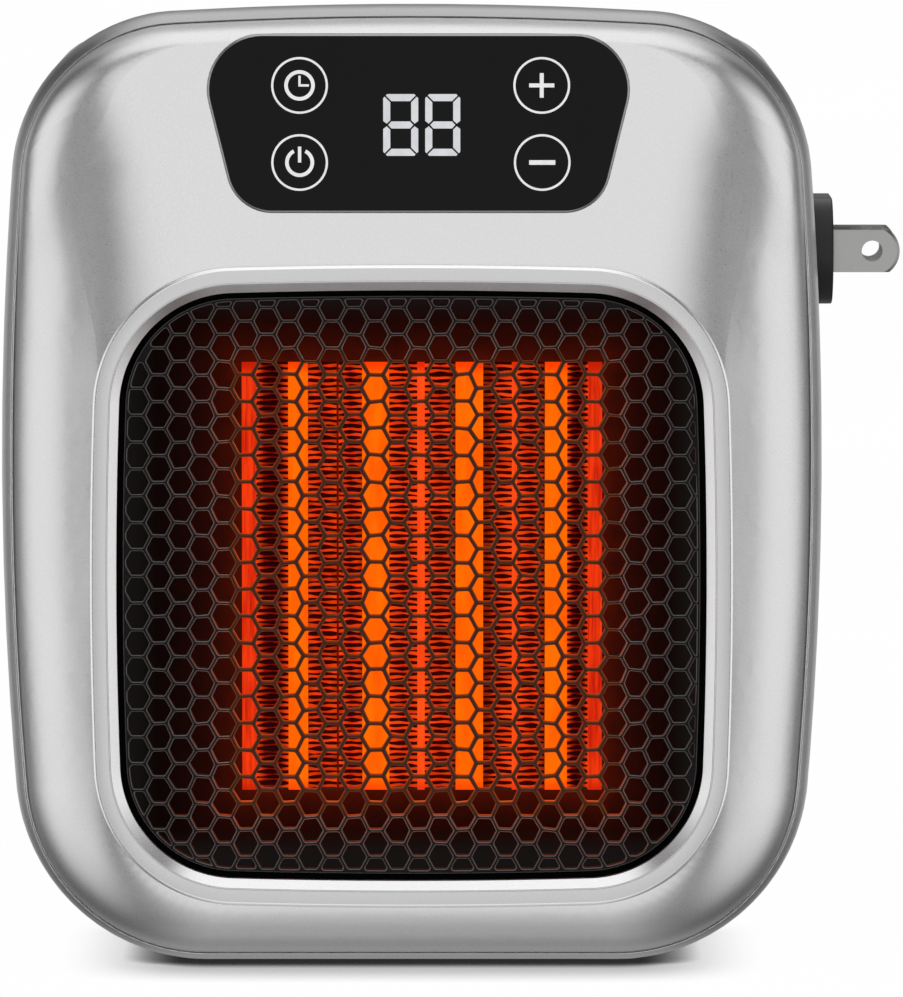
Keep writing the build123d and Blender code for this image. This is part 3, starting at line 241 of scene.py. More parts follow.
SLOTS = {n["node"]: n["material_slot"] for n in frame["record"]["subparts"]}
M = {
    "silver_paint": paint("silver_paint", (0.80, 0.80, 0.803), 0.31),
    "silver_trim": paint("silver_trim", (0.66, 0.66, 0.663), 0.31, contrast=0.06),
    "black_grille": plastic("black_grille", (0.018, 0.017, 0.017), 0.5, spec=0.25),
    "panel_black": plastic("panel_black", (0.003, 0.003, 0.0034), 0.12, strength=0.02, vary=0.05, spec=0.075),
        "white_plastic": plastic("white_plastic", (0.8, 0.8, 0.77), 0.45, vary=0.06),
    "foam": plastic("foam", (0.05, 0.05, 0.05), 0.9, grain=500.0, depth=0.0003, strength=0.8),
    "board_green": board("board_green"),
    "chip_black": plastic("chip_black", (0.03, 0.03, 0.03), 0.55),
    "screw_steel": metal("screw_steel", (0.62, 0.62, 0.62), 0.3),
    "black_resin": plastic("black_resin", (0.025, 0.024, 0.024), 0.55, depth=0.00008, strength=0.5),
    "ceramic_stone": plastic("ceramic_stone", (0.35, 0.33, 0.32), 0.75, strength=0.6),
    "end_cap": plastic("end_cap", (0.06, 0.045, 0.04), 0.6, depth=0.00008),
    "tab_metal": metal("tab_metal", (0.75, 0.6, 0.32), 0.3),
    "thermostat_body": plastic("thermostat_body", (0.07, 0.05, 0.045), 0.5),
    "fuse_metal": metal("fuse_metal", (0.7, 0.7, 0.68), 0.25),
    "motor_steel": metal("motor_steel", (0.55, 0.55, 0.56), 0.33, (1.0, 6.0, 1.0)),
    "magnet": plastic("magnet", (0.06, 0.06, 0.065), 0.7, strength=0.6),
    "bronze": metal("bronze", (0.6, 0.4, 0.2), 0.45, strength=0.4),
    "carbon": plastic("carbon", (0.03, 0.03, 0.03), 0.6),
    "copper": metal("copper", (0.72, 0.34, 0.17), 0.3, (1.0, 30.0, 1.0)),
    "fan_plastic": plastic("fan_plastic", (0.045, 0.045, 0.05), 0.42),
    "relay_black": plastic("relay_black", (0.03, 0.035, 0.05), 0.3),
    "coil_yellow": plastic("coil_yellow", (0.75, 0.6, 0.12), 0.4),
    "cap_blue": plastic("cap_blue", (0.05, 0.12, 0.4), 0.25, vary=0.08),
    "plug_black": plastic("plug_black", (0.008, 0.008, 0.0085), 0.34, spec=0.35),
    "blade_nickel": metal("blade_nickel", (0.36, 0.357, 0.353), 0.24, (1.0, 1.0, 30.0), vary=0.2),
    "lead_black": plastic("lead_black", (0.03, 0.03, 0.03), 0.45),
    "lead_red": plastic("lead_red", (0.5, 0.03, 0.025), 0.5),
    "ribbon_grey": plastic("ribbon_grey", (0.45, 0.45, 0.46), 0.4),
}

# ------------------------------------------------------------------ measures repeated from the model, in mm
OPEN_Z, OPEN_A, OPEN_B = 57.45, 43.5, 43.7          # the outlet's centre height and half size
OPEN_R1, OPEN_R2, OPEN_RC = 744.0, 908.0, 17.1
Y_FRONT, BEZEL_OUT, BEZEL_Y = -39.0, 3.85, -39.6
HEX_X, HEX_Z, HEX_PX, HEX_PZ = -5.28, 66.76, 3.20, 3.97
RIB_H, RIB_S = 0.46, 0.56
GRILLE_Y0, GRILLE_Y1 = -37.0, -35.0
WIN_X0, WIN_X1, WIN_Z0, WIN_Z1 = -25.3, 28.3, 25.4, 89.3
PANEL_X, PANEL_ZT, PANEL_ZB = 1.04, 138.83, 112.64
PANEL_HT, PANEL_HB, PANEL_RT, PANEL_RB = 33.2, 26.7, 8.1, 6.7
LENS_Y0, LENS_Y1 = -39.25, -37.8
ROLL_SIDE, ROLL_UP = 13.0, 7.6                      # width of the front shell's rolled edge
FINS = [(-23.2, -18.4), (-15.5, -11.2), (-10.9, -7.4), (-3.4, 0.8), (1.9, 6.5), (10.6, 14.9), (15.65, 19.8), (23.1, 26.2)]


# ------------------------------------------------------------------ glowing parts
def window_distance(m):
    """Distance in mm from the glowing window, measured across the front, from a node tree's object coordinates."""
    x = m.math("MULTIPLY", m.axis("X"), 1000.0)
    z = m.math("MULTIPLY", m.axis("Z"), 1000.0)
    ox = m.math("MAXIMUM", m.math("SUBTRACT", m.math("ABSOLUTE", m.math("SUBTRACT", x, (WIN_X0 + WIN_X1) / 2)), (WIN_X1 - WIN_X0) / 2), 0.0)
    oz = m.math("MAXIMUM", m.math("SUBTRACT", m.math("ABSOLUTE", m.math("SUBTRACT", z, (WIN_Z0 + WIN_Z1) / 2)), (WIN_Z1 - WIN_Z0) / 2), 0.0)
    return m.math("SQRT", m.math("ADD", m.math("MULTIPLY", ox, ox), m.math("MULTIPLY", oz, oz))), x, z


def glow(name, base, cold, hot, power, streak=(1.0, 1.0, 1.0), scale=700.0, fade_top=None, dark_x=None):
    """Hot metal: emission that varies in streaks between two tones, on a dark scaled surface."""
    m = Tree(name)
    n = m.noise(scale, 3.0, 0.6, m.mapping(streak))
    b = m.noise(110.0, 2.0, 0.5)
    f = m.range(m.math("ADD", m.math("MULTIPLY", n, 0.7), m.math("MULTIPLY", b, 0.3)), 0.36, 0.62, 0.0, 1.0)
    e = m.mix(f, cold, hot)
    if fade_top is not None:
        z = m.math("MULTIPLY", m.axis("Z"), 1000.0)
        e = m.mix(m.range(z, WIN_Z1 - 2.2, WIN_Z1 - 0.2, 0.0, 1.0, True), e, fade_top)
        e = m.mix(m.range(z, WIN_Z0 + 0.2, WIN_Z0 + 2.0, 0.7, 0.0, True), e, fade_top)
    if dark_x is not None:
        x = m.math("MULTIPLY", m.axis("X"), 1000.0)
        e = m.mix(m.range(m.math("ABSOLUTE", m.math("SUBTRACT", x, dark_x)), 0.4, 0.6, 0.0, 1.0), (0.10, 0.003, 0.001), e)
    return m.set(color=m.mix(n, tuple(c * 0.6 for c in base), base), rough=0.7, spec=0.05,
                 normal=m.bump(n, 0.3, 0.00003), emit=e, emit_power=power)


M["print_white"] = glow("print_white", (0.80, 0.80, 0.80), (0.42, 0.42, 0.42), (0.46, 0.46, 0.46), 1.0)
M["digit_light"] = glow("digit_light", (0.30, 0.30, 0.31), (0.50, 0.51, 0.53), (0.56, 0.57, 0.59), 1.0)
M["heater_plate"] = glow("heater_plate", (0.03, 0.006, 0.003), (0.52, 0.010, 0.002), (0.93, 0.045, 0.004), 1.0, (2.2, 1.0, 0.10), 1400.0, (0.55, 0.012, 0.001))
M["heater_bar"] = glow("heater_bar", (0.05, 0.012, 0.003), (1.0, 0.100, 0.0), (1.0, 0.160, 0.0), 1.0, (1.0, 1.0, 0.25), 500.0, (1.0, 0.05, 0.0))
M["heater_fin"] = glow("heater_fin", (0.03, 0.004, 0.003), (0.55, 0.012, 0.001), (0.9, 0.045, 0.003), 1.0)
M["heater_strip"] = glow("heater_strip", (0.03, 0.006, 0.003), (0.95, 0.045, 0.004), (1.0, 0.095, 0.010), 1.0, (1.0, 1.0, 0.2), 600.0, (0.8, 0.02, 0.002), -11.05)


def chamber_painted_light():
    """The black outlet chamber, with painted light: a dull red glow painted round the heater, and a little painted grey
    near its rim where daylight would reach.
    """
    m = Tree("chamber_black_painted_light")
    d, x, z = window_distance(m)
    n = m.noise(260.0, 3.0, 0.55)
    # painted glow of the heater, falling off with the distance from the window
    painted_near = m.math("POWER", 2.7183, m.math("MULTIPLY", d, -0.26))
    painted_near = m.math("MULTIPLY", painted_near, m.range(n, 0.3, 0.7, 0.75, 1.2))
    # painted daylight near the opening's rim
    rx = m.math("DIVIDE", m.math("ABSOLUTE", x), OPEN_A)
    rz = m.math("DIVIDE", m.math("ABSOLUTE", m.math("SUBTRACT", z, OPEN_Z)), OPEN_B)
    rim_painted_daylight = m.range(m.math("MAXIMUM", rx, rz), 0.86, 0.97, 0.0, 1.0, True)
    e = m.mix(painted_near, (0.0012, 0.0008, 0.0006), (0.062, 0.0040, 0.0006))
    e = m.mix(m.math("MULTIPLY", rim_painted_daylight, 0.75), e, (0.0085, 0.0078, 0.0072))
    c = m.mix(n, (0.002, 0.002, 0.002), (0.004, 0.004, 0.004))
    return m.set(color=c, rough=0.8, spec=0.02, normal=m.bump(n, 0.3, 0.00005), emit=e, emit_power=1.0)


def painted(name, base, rough, spec, grain=3600.0, strength=0.25, depth=0.00003, metallic=0.0, power=1.0):
    """A surface whose emission is carried by the mesh's colour attribute "glow", over a grained base: the fins' own
    glow, and on the grille a painted glow of the heater's light.
    """
    m = Tree(name)
    n = m.noise(grain, 3.0, 0.6)
    b = m.noise(80.0, 2.0, 0.5)
    lo = tuple(c * 0.8 for c in base)
    hi = tuple(c * 1.2 for c in base)
    e = m.mix(1.0, m.attribute("glow"), m.mix(n, (0.86, 0.86, 0.86), (1.14, 1.14, 1.14)), "MULTIPLY")
    return m.set(color=m.mix(b, lo, hi), rough=m.range(n, 0.3, 0.7, rough - 0.05, rough + 0.07), spec=spec, metallic=metallic,
                 normal=m.bump(n, strength, depth), emit=e, emit_power=power)


CHAMBER_PAINTED_LIGHT = chamber_painted_light()
# the grille's materials carry a painted glow of the heater's light, from the mesh's glow attribute
RIB_CORE = painted("grille_black", (0.0085, 0.0080, 0.0080), 0.55, 0.14)
# painted highlight: the rib bevels are a paler, glossier copy of the black grille plastic, so that they read as bright
# lines
RIB_EDGE_PAINTED_HIGHLIGHT = painted("grille_edge_painted_highlight", (0.105, 0.102, 0.102), 0.32, 0.55)
RIB_WALL = painted("grille_wall", (0.010, 0.0095, 0.0095), 0.5, 0.2)
# near the window the rib bevels take painted glow, darker and duller, in place of the painted highlight
RIB_EDGE_PAINTED_GLOW = painted("grille_edge_painted_glow", (0.020, 0.012, 0.009), 0.4, 0.08)
# painted shade: the frame step round the grille is a darker, duller copy of the grille plastic, for the gap under the
# bezel
GAP_PAINTED_SHADE = painted("grille_border_painted_shade", (0.0025, 0.0025, 0.0025), 0.85, 0.02)
FIN_LIT = painted("fin_lit", (0.006, 0.001, 0.001), 0.8, 0.02)
# painted highlight: a brighter, glossier copy of the silver for the bezel's outer edge and chamfer
TRIM_PAINTED_HIGHLIGHT = paint("trim_painted_highlight", (0.96, 0.962, 0.965), 0.22, contrast=0.03, coat=0.2)
# painted highlight: the black lens's rounded edge is drawn as grey metal, so that it shows a bright line
PANEL_EDGE_PAINTED_HIGHLIGHT = metal("panel_edge_painted_highlight", (0.42, 0.42, 0.43), 0.3)

HOT = [n for n in nodes if SLOTS[n] in ("heater_plate", "heater_bar", "heater_fin", "heater_strip") or n == "heater_chamber"]
for name, ob in nodes.items():
    ob.data.materials.clear()
    ob.data.materials.append(CHAMBER_PAINTED_LIGHT if name == "heater_chamber" else M[SLOTS[name]])


# ------------------------------------------------------------------ outlines
def arc_quarter(a, b, r1, r2, rc):
    """Corner arc tangent inside a side arc (through (a, 0)) and a top arc (through (0, b))."""
    c1, c2 = (a - r1, 0.0), (0.0, b - r2)
    d1, d2 = r1 - rc, r2 - rc
    dx, dz = c2[0] - c1[0], c2[1] - c1[1]
    d = math.hypot(dx, dz)
    k = (d1 * d1 - d2 * d2 + d * d) / (2 * d)
    h = math.sqrt(max(d1 * d1 - k * k, 0.0))
    ux, uz = dx / d, dz / d
    mx, mz = c1[0] + k * ux, c1[1] + k * uz
    best = None
    for s in (1, -1):
        q = (mx - s * h * uz, mz + s * h * ux)
        if q[0] > 0 and q[1] > 0:
            best = q
    return best, math.atan2(best[1] - c1[1], best[0] - c1[0]), math.atan2(best[1] - c2[1], best[0] - c2[0])


def square_points(d, n=40, m=14):
    """The outlet's rounded square, grown by d, as a closed anticlockwise list of (x, z)."""
    a, b, rc = OPEN_A + d, OPEN_B + d, OPEN_RC + d
    r1, r2 = OPEN_R1 + d, OPEN_R2 + d
    (kx, kz), t1, t2 = arc_quarter(a, b, r1, r2, rc)
    q = [(a - r1 + r1 * math.cos(t1 * i / m), r1 * math.sin(t1 * i / m)) for i in range(m)]
    q += [(kx + rc * math.cos(t1 + (t2 - t1) * i / n), kz + rc * math.sin(t1 + (t2 - t1) * i / n)) for i in range(n)]
    q += [(r2 * math.cos(t2 + (math.pi / 2 - t2) * i / m), b - r2 + r2 * math.sin(t2 + (math.pi / 2 - t2) * i / m)) for i in range(m)]
    out = list(q) + [(-x, z) for x, z in [(0.0, b)] + q[::-1]]
    out += [(-x, -z) for x, z in q[1:]] + [(x, -z) for x, z in [(0.0, b)] + q[::-1][:-1]]
    return [(x, OPEN_Z + z) for x, z in out]


def panel_points(d, n=14):
    """The touch panel's outline, grown by d: a trapezium with round corners, anticlockwise from the upper left."""
    zt, zb = PANEL_ZT + d, PANEL_ZB - d
    slope = (PANEL_HT - PANEL_HB) / (PANEL_ZT - PANEL_ZB)
    ca = d * math.sqrt(1 + slope * slope)
    ht, hb = PANEL_HT + ca + slope * d, PANEL_HB + ca - slope * d
    pts = [(PANEL_X - ht, zt), (PANEL_X - hb, zb), (PANEL_X + hb, zb), (PANEL_X + ht, zt)]
    rs = [PANEL_RT + d, PANEL_RB + d, PANEL_RB + d, PANEL_RT + d]
    out = []
    for i in range(4):
        p0, p1, p2 = (Vector(pts[k % 4]) for k in (i + 3, i, i + 1))
        u, w = (p0 - p1).normalized(), (p2 - p1).normalized()
        half = u.angle(w) / 2
        tl = rs[i] / math.tan(half)
        c = p1 + (u + w).normalized() * (rs[i] / math.sin(half))
        s, e = p1 + u * tl - c, p1 + w * tl - c
        a0 = math.atan2(s.y, s.x)
        a1 = math.atan2(e.y, e.x)
        if a1 < a0:
            a1 += 2 * math.pi
        for k in range(n + 1):
            a = a0 + (a1 - a0) * k / n
            out.append((c.x + rs[i] * math.cos(a), c.y + rs[i] * math.sin(a)))
    return out


# ------------------------------------------------------------------ meshes
def new_piece(name, verts, faces, mats, mat_index=None, corner_glow=None, replaces=None, sharp=None, body="housing"):
    me = bpy.data.meshes.new(name)
    me.from_pydata([(x * MM, y * MM, z * MM) for x, y, z in verts], [], faces)
    for m in mats:
        me.materials.append(m)
    if mat_index is not None:
        me.polygons.foreach_set("material_index", np.asarray(mat_index, np.int32))
    if corner_glow is not None:
        at = me.attributes.new("glow", "FLOAT_COLOR", "CORNER")
        at.data.foreach_set("color", np.asarray(corner_glow, np.float32).ravel())
    me.validate()
    if sharp is not None:
        me.polygons.foreach_set("use_smooth", np.ones(len(me.polygons), bool))
        me.set_sharp_from_angle(angle=math.radians(sharp))
    ob = bpy.data.objects.new(name, me)
    bpy.context.scene.collection.objects.link(ob)
    if replaces:
        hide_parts(replaces)
    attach(ob, body)
    return ob


def ring_faces(a, b, n, flip=False):
    """Quads between two closed loops whose first indices are a and b."""
    out = []
    for i in range(n):
        j = (i + 1) % n
        q = (a + i, a + j, b + j, b + i)
        out.append(q[::-1] if flip else q)
    return out


# --- front shell: the housing's face, drawn back in a shallow crown towards its sides
def smooth(t):
    t = np.clip(t, 0, 1)
    return t * t * (3 - 2 * t)


def fading(v, start, width):
    """A slope of one that fades to none from start over width, summed up to v."""
    t = np.clip((v - start) / width, 0, 1)
    return np.minimum(v, start) + width * (t - t ** 3 + t ** 4 / 2)


def crown_gap(x, y, z):
    """How far the face lies behind a flat front, in mm."""
    u = np.abs(x)
    start = 31.5 + 4.0 * smooth((z - 96.0) / 24.0) + 7.0 * smooth((z - 116.0) / 22.0) + 5.0 * smooth((24.0 - z) / 20.0)
    steep = 0.30 - 0.01 * smooth((z - 84.0) / 24.0) - 0.05 * smooth((z - 104.0) / 18.0) - 0.18 * smooth((z - 118.0) / 20.0) \
        - 0.10 * smooth((62.0 - z) / 26.0) - 0.10 * smooth((30.0 - z) / 26.0)
    span = 46.5 - start
    a = np.clip(u - start, 0, span)
    inner = steep * a ** 3 / (3 * span ** 2)
    v = np.clip(u - 46.5, 0, None)
    top = smooth((z - 92.0) / 16.0)
    outer = steep * (0.28 * fading(v, 7.5, 6.5) + 0.72 * fading(v, 0.0, 5.0))
    outer = outer * (1 - top) + top * steep * fading(v, 5.5, 6.0)
    return (inner + outer) * np.clip((-26.0 - y) / 13.0, 0, 1)


def outward(x, z):
    """Direction square to the upper outline: level at the sides, radial round the corners, up along the top."""
    a, b = np.clip(np.abs(x) - 35.0, 0, None), np.clip(z - 117.0, 0, None)
    side = (b <= 0) & (a <= 0)
    a = np.where(side, 1.0, a)
    r = np.hypot(a, b)
    return a / r, b / r


def fuller(x, y, z):
    """How far the rolled edge stands out beyond the wide one of the middle, in the upper half, in mm."""
    t = np.clip((-26.0 - y) / 13.0, 0, 1)
    na, nb = outward(x, z)
    far = np.hypot(np.clip(np.abs(x) - 35.0, 0, None), np.clip(z - 117.0, 0, None))
    painted_near = smooth((far - 10.0 * na * na - 21.5 * nb * nb + 6.0) / 6.0)
    wide = ROLL_SIDE * (1 - np.sqrt(1 - t * t))
    tight = ROLL_UP * (1 - (1 - t ** 3) ** (1 / 3))
    return (wide - tight) * na * na * smooth((z - 88.0) / 29.0) * painted_near


def fuller_x(x, y, z):
    return fuller(x, y, z) * outward(x, z)[0] * np.sign(x)


def fuller_z(x, y, z):
    return fuller(x, y, z) * outward(x, z)[1]


def top_drop(x, y, z):
    """How far the top of the rear half lies below the outline, growing towards the back, in mm."""
    back = np.clip((y + 21.5) / 60.5, 0, 1)
    return 2.9 * (1 - (1 - back) ** 1.6) * smooth((z - 132.6) / 9.5)


def split_by_planes(pos, nrm, axis, planes, eps=1e-5):
    """Cut a triangle soup by planes square to an axis. pos and nrm are (n, 3, 3)."""
    for p in planes:
        c = pos[:, :, axis]
        lo, hi = c.min(1), c.max(1)
        cut = (lo < p - eps) & (hi > p + eps)
        if not cut.any():
            continue
        keep_p, keep_n = pos[~cut], nrm[~cut]
        tp, tn = pos[cut], nrm[cut]
        side = tp[:, :, axis] - p
        painted_near = np.abs(side) <= eps
        sgn = np.where(painted_near, 0, np.sign(side)).astype(int)
        # triangles with one corner on the plane: two halves
        on = painted_near.any(1)
        add_p, add_n = [keep_p], [keep_n]
        for mask, kind in ((on, 0), (~on, 1)):
            if not mask.any():
                continue
            q, w, s = tp[mask], tn[mask], sgn[mask]
            if kind == 0:
                k = np.argmax(s == 0, 1)
            else:
                tot = s.sum(1)
                k = np.argmax(s == -tot[:, None], 1)
            idx = (k[:, None] + np.arange(3)[None, :]) % 3
            r = np.arange(len(q))[:, None]
            q, w = q[r, idx], w[r, idx]
            a, b, d = q[:, 0], q[:, 1], q[:, 2]
            na, nb, nd = w[:, 0], w[:, 1], w[:, 2]

            def cross(u0, u1, v0, v1):
                # the same end first on both sides of an edge, so that both halves get the same point
                swap = (u0[:, axis] > u1[:, axis])[:, None]
                s0, s1 = np.where(swap, u1, u0), np.where(swap, u0, u1)
                m0, m1 = np.where(swap, v1, v0), np.where(swap, v0, v1)
                t = ((p - s0[:, axis]) / (s1[:, axis] - s0[:, axis]))[:, None]
                out = s0 + t * (s1 - s0)
                out[:, axis] = p
                return out, m0 + t * (m1 - m0)

            if kind == 0:
                e, ne = cross(b, d, nb, nd)
                add_p += [np.stack([a, b, e], 1), np.stack([a, e, d], 1)]
                add_n += [np.stack([na, nb, ne], 1), np.stack([na, ne, nd], 1)]
            else:
                e, ne = cross(a, b, na, nb)
                g, ng = cross(a, d, na, nd)
                add_p += [np.stack([a, e, g], 1), np.stack([e, b, d], 1), np.stack([e, d, g], 1)]
                add_n += [np.stack([na, ne, ng], 1), np.stack([ne, nb, nd], 1), np.stack([ne, nd, ng], 1)]
        pos, nrm = np.concatenate(add_p), np.concatenate(add_n)
    return pos, nrm


def skin(source, name, moves, cuts_x, cuts_z, cuts_y):
    """The shell's mesh, cut into a finer net and moved along one axis after another, with its normals carried along."""
    me = source.data
    me.calc_loop_triangles()
    n = len(me.loop_triangles)
    tri = np.empty(n * 3, np.int32)
    me.loop_triangles.foreach_get("vertices", tri)
    loops = np.empty(n * 3, np.int32)
    me.loop_triangles.foreach_get("loops", loops)
    co = np.empty(len(me.vertices) * 3, np.float32)
    me.vertices.foreach_get("co", co)
    cn = np.empty(len(me.loops) * 3, np.float32)
    me.corner_normals.foreach_get("vector", cn)
    pos = co.reshape(-1, 3)[tri].reshape(n, 3, 3).astype(float) * 1000.0
    nrm = cn.reshape(-1, 3)[loops].reshape(n, 3, 3).astype(float)
    pos = np.round(pos, 5)
    pos, nrm = split_by_planes(pos, nrm, 0, cuts_x)
    pos, nrm = split_by_planes(pos, nrm, 2, cuts_z)
    pos, nn = split_by_planes(pos, nrm, 1, cuts_y)
    e = 0.02
    for gap, axis, sign in moves:
        x, y, z = (pos[..., k].copy() for k in range(3))
        d = [(gap(x + e, y, z) - gap(x - e, y, z)) / (2 * e) * sign,
             (gap(x, y + e, z) - gap(x, y - e, z)) / (2 * e) * sign,
             (gap(x, y, z + e) - gap(x, y, z - e)) / (2 * e) * sign]
        # surface normals when the one coordinate moves by the gap
        na = nn[..., axis] / np.maximum(1 + d[axis], 0.1)
        nn = np.stack([na if k == axis else nn[..., k] - d[k] * na for k in range(3)], -1)
        nn /= np.maximum(np.linalg.norm(nn, axis=-1, keepdims=True), 1e-9)
        pos = pos.copy()
        pos[..., axis] += gap(x, y, z) * sign
    flat = np.round(pos.reshape(-1, 3), 4)
    uniq, inv = np.unique(flat, axis=0, return_inverse=True)
    faces = inv.reshape(-1, 3)
    ok = (faces[:, 0] != faces[:, 1]) & (faces[:, 1] != faces[:, 2]) & (faces[:, 0] != faces[:, 2])
    faces, nn = faces[ok], nn[ok]
    out = bpy.data.meshes.new(name)
    out.vertices.add(len(uniq))
    out.vertices.foreach_set("co", (uniq * MM).astype(np.float32).ravel())
    out.loops.add(len(faces) * 3)
    out.loops.foreach_set("vertex_index", faces.ravel().astype(np.int32))
    out.polygons.add(len(faces))
    out.polygons.foreach_set("loop_start", np.arange(0, len(faces) * 3, 3, dtype=np.int32))
    out.polygons.foreach_set("use_smooth", np.ones(len(faces), bool))
    out.update(calc_edges=True)
    out.normals_split_custom_set([tuple(v) for v in nn.reshape(-1, 3)])
    out.materials.append(M["silver_paint"])
    ob = bpy.data.objects.new(name, out)
    bpy.context.scene.collection.objects.link(ob)
    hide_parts(source.name)
    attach(ob, "housing")
    return ob


front_skin = skin(nodes["front_shell"], "front_shell_skin", [(fuller_x, 0, 1.0), (fuller_z, 2, 1.0), (crown_gap, 1, 1.0)],
                  np.concatenate([-np.arange(29.013, 60.5, 2.3), np.arange(29.013, 60.5, 2.3)]),
                  np.concatenate([np.arange(2.017, 132.0, 3.2), np.arange(132.517, 141.0, 1.3)]), np.concatenate([[-38.96, -38.86, -38.68], np.arange(-38.387, -26.0, 1.3)]))
# the rear half, with painted shade on its top lip
RIM_PAINTED_SHADE = rim_paint_painted_shade("silver_rim_painted_shade", (0.80, 0.80, 0.803), 0.31)
rear_skin = skin(nodes["rear_shell"], "rear_shell_skin", [(top_drop, 2, -1.0)],
                 np.array([]), np.arange(132.617, 143.0, 1.0), np.arange(-21.513, 39.0, 5.0))
rear_skin.data.materials[0] = RIM_PAINTED_SHADE


# --- bezel: a flat satin band, with painted highlight: its outer edge and inner chamfer in a brighter, glossier copy of the silver
def bezel():
    prof = [(0.0, -37.0, 1), (0.0, -38.33, 1), (1.27, -39.58, 0), (1.34, -39.50, 0), (1.46, -39.50, 0), (1.52, -39.6, 0),
            (3.36, -39.6, 1), (3.58, -39.56, 1), (3.76, -39.43, 1), (3.85, -39.20, 0), (3.85, -36.6, 0), (2.6, -36.6, 0), (2.6, -37.0, 0)]
    verts, faces, mi = [], [], []
    loops = []
    for d, y, _ in prof:
        pts = square_points(d)
        loops.append(len(verts))
        verts += [(x, y, z) for x, z in pts]
    n = len(square_points(0.0))
    for k in range(len(prof)):
        a, b = loops[k], loops[(k + 1) % len(prof)]
        f = ring_faces(a, b, n)
        faces += f
        # faces flagged 1 take the painted-highlight silver
        bright = prof[k][2] if k not in (0,) else 0
        mi += [bright] * len(f)
    return new_piece("bezel_ring", verts, faces, [M["silver_trim"], TRIM_PAINTED_HIGHLIGHT], mi, replaces="grille_bezel", sharp=32)


bezel()


# --- honeycomb: ribs with bevelled edges round cells with softened corners, cut by a narrow frame
def clip(poly, region):
    out = poly
    m = len(region)
    for i in range(m):
        ax, az = region[i]
        bx, bz = region[(i + 1) % m]
        ex, ez = bx - ax, bz - az
        src, out = out, []
        if not src:
            return []
        for j in range(len(src)):
            p, q = src[j], src[(j + 1) % len(src)]
            dp = ex * (p[1] - az) - ez * (p[0] - ax)
            dq = ex * (q[1] - az) - ez * (q[0] - ax)
            if dp >= 0:
                out.append(p)
            if (dp >= 0) != (dq >= 0):
                k = dp / (dp - dq)
                out.append((p[0] + k * (q[0] - p[0]), p[1] + k * (q[1] - p[1])))
    return out


def area(poly):
    return 0.5 * sum(poly[i][0] * poly[(i + 1) % len(poly)][1] - poly[(i + 1) % len(poly)][0] * poly[i][1] for i in range(len(poly)))


def simplify(poly, eps=0.12, turn=4.0):
    """Drop points that are close together or where the outline hardly turns."""
    out = []
    for p in poly:
        if not out or math.hypot(p[0] - out[-1][0], p[1] - out[-1][1]) > eps:
            out.append(p)
    while len(out) > 2 and math.hypot(out[0][0] - out[-1][0], out[0][1] - out[-1][1]) <= eps:
        out.pop()
    keep = []
    for i, p in enumerate(out):
        a, b = out[i - 1], out[(i + 1) % len(out)]
        t = math.atan2(b[1] - p[1], b[0] - p[0]) - math.atan2(p[1] - a[1], p[0] - a[0])
        t = (t + math.pi) % (2 * math.pi) - math.pi
        if abs(t) > math.radians(turn):
            keep.append(p)
    return keep


def offset(poly, b):
    """A convex anticlockwise polygon grown by b."""
    out = []
    n = len(poly)
    for i in range(n):
        p0, p1, p2 = poly[i - 1], poly[i], poly[(i + 1) % n]
        d1 = Vector((p1[0] - p0[0], p1[1] - p0[1])).normalized()
        d2 = Vector((p2[0] - p1[0], p2[1] - p1[1])).normalized()
        n1, n2 = Vector((d1.y, -d1.x)), Vector((d2.y, -d2.x))
        v = (n1 + n2) / max(1 + n1.dot(n2), 0.35)
        out.append((p1[0] + v.x * b, p1[1] + v.y * b))
    return out


def rounded(poly, r, n=3):
    """The polygon with each corner turned into an arc of n + 1 points."""
    out = []
    m = len(poly)
    for i in range(m):
        p0, p1, p2 = (Vector(poly[k % m]) for k in (i + m - 1, i, i + 1))
        u, w = p0 - p1, p2 - p1
        lu, lw = u.length, w.length
        u, w = u / lu, w / lw
        half = max(u.angle(w) / 2, 0.15)
        tl = min(r / math.tan(half), 0.42 * lu, 0.42 * lw)
        rr = tl * math.tan(half)
        c = p1 + (u + w).normalized() * (rr / math.sin(half))
        s, e = p1 + u * tl - c, p1 + w * tl - c
        a0, a1 = math.atan2(s.y, s.x), math.atan2(e.y, e.x)
        while a1 < a0:
            a1 += 2 * math.pi
        for k in range(n + 1):
            a = a0 + (a1 - a0) * k / n
            out.append((c.x + rr * math.cos(a), c.y + rr * math.sin(a)))
    return out


BEVEL, DROP = 0.125, 0.12


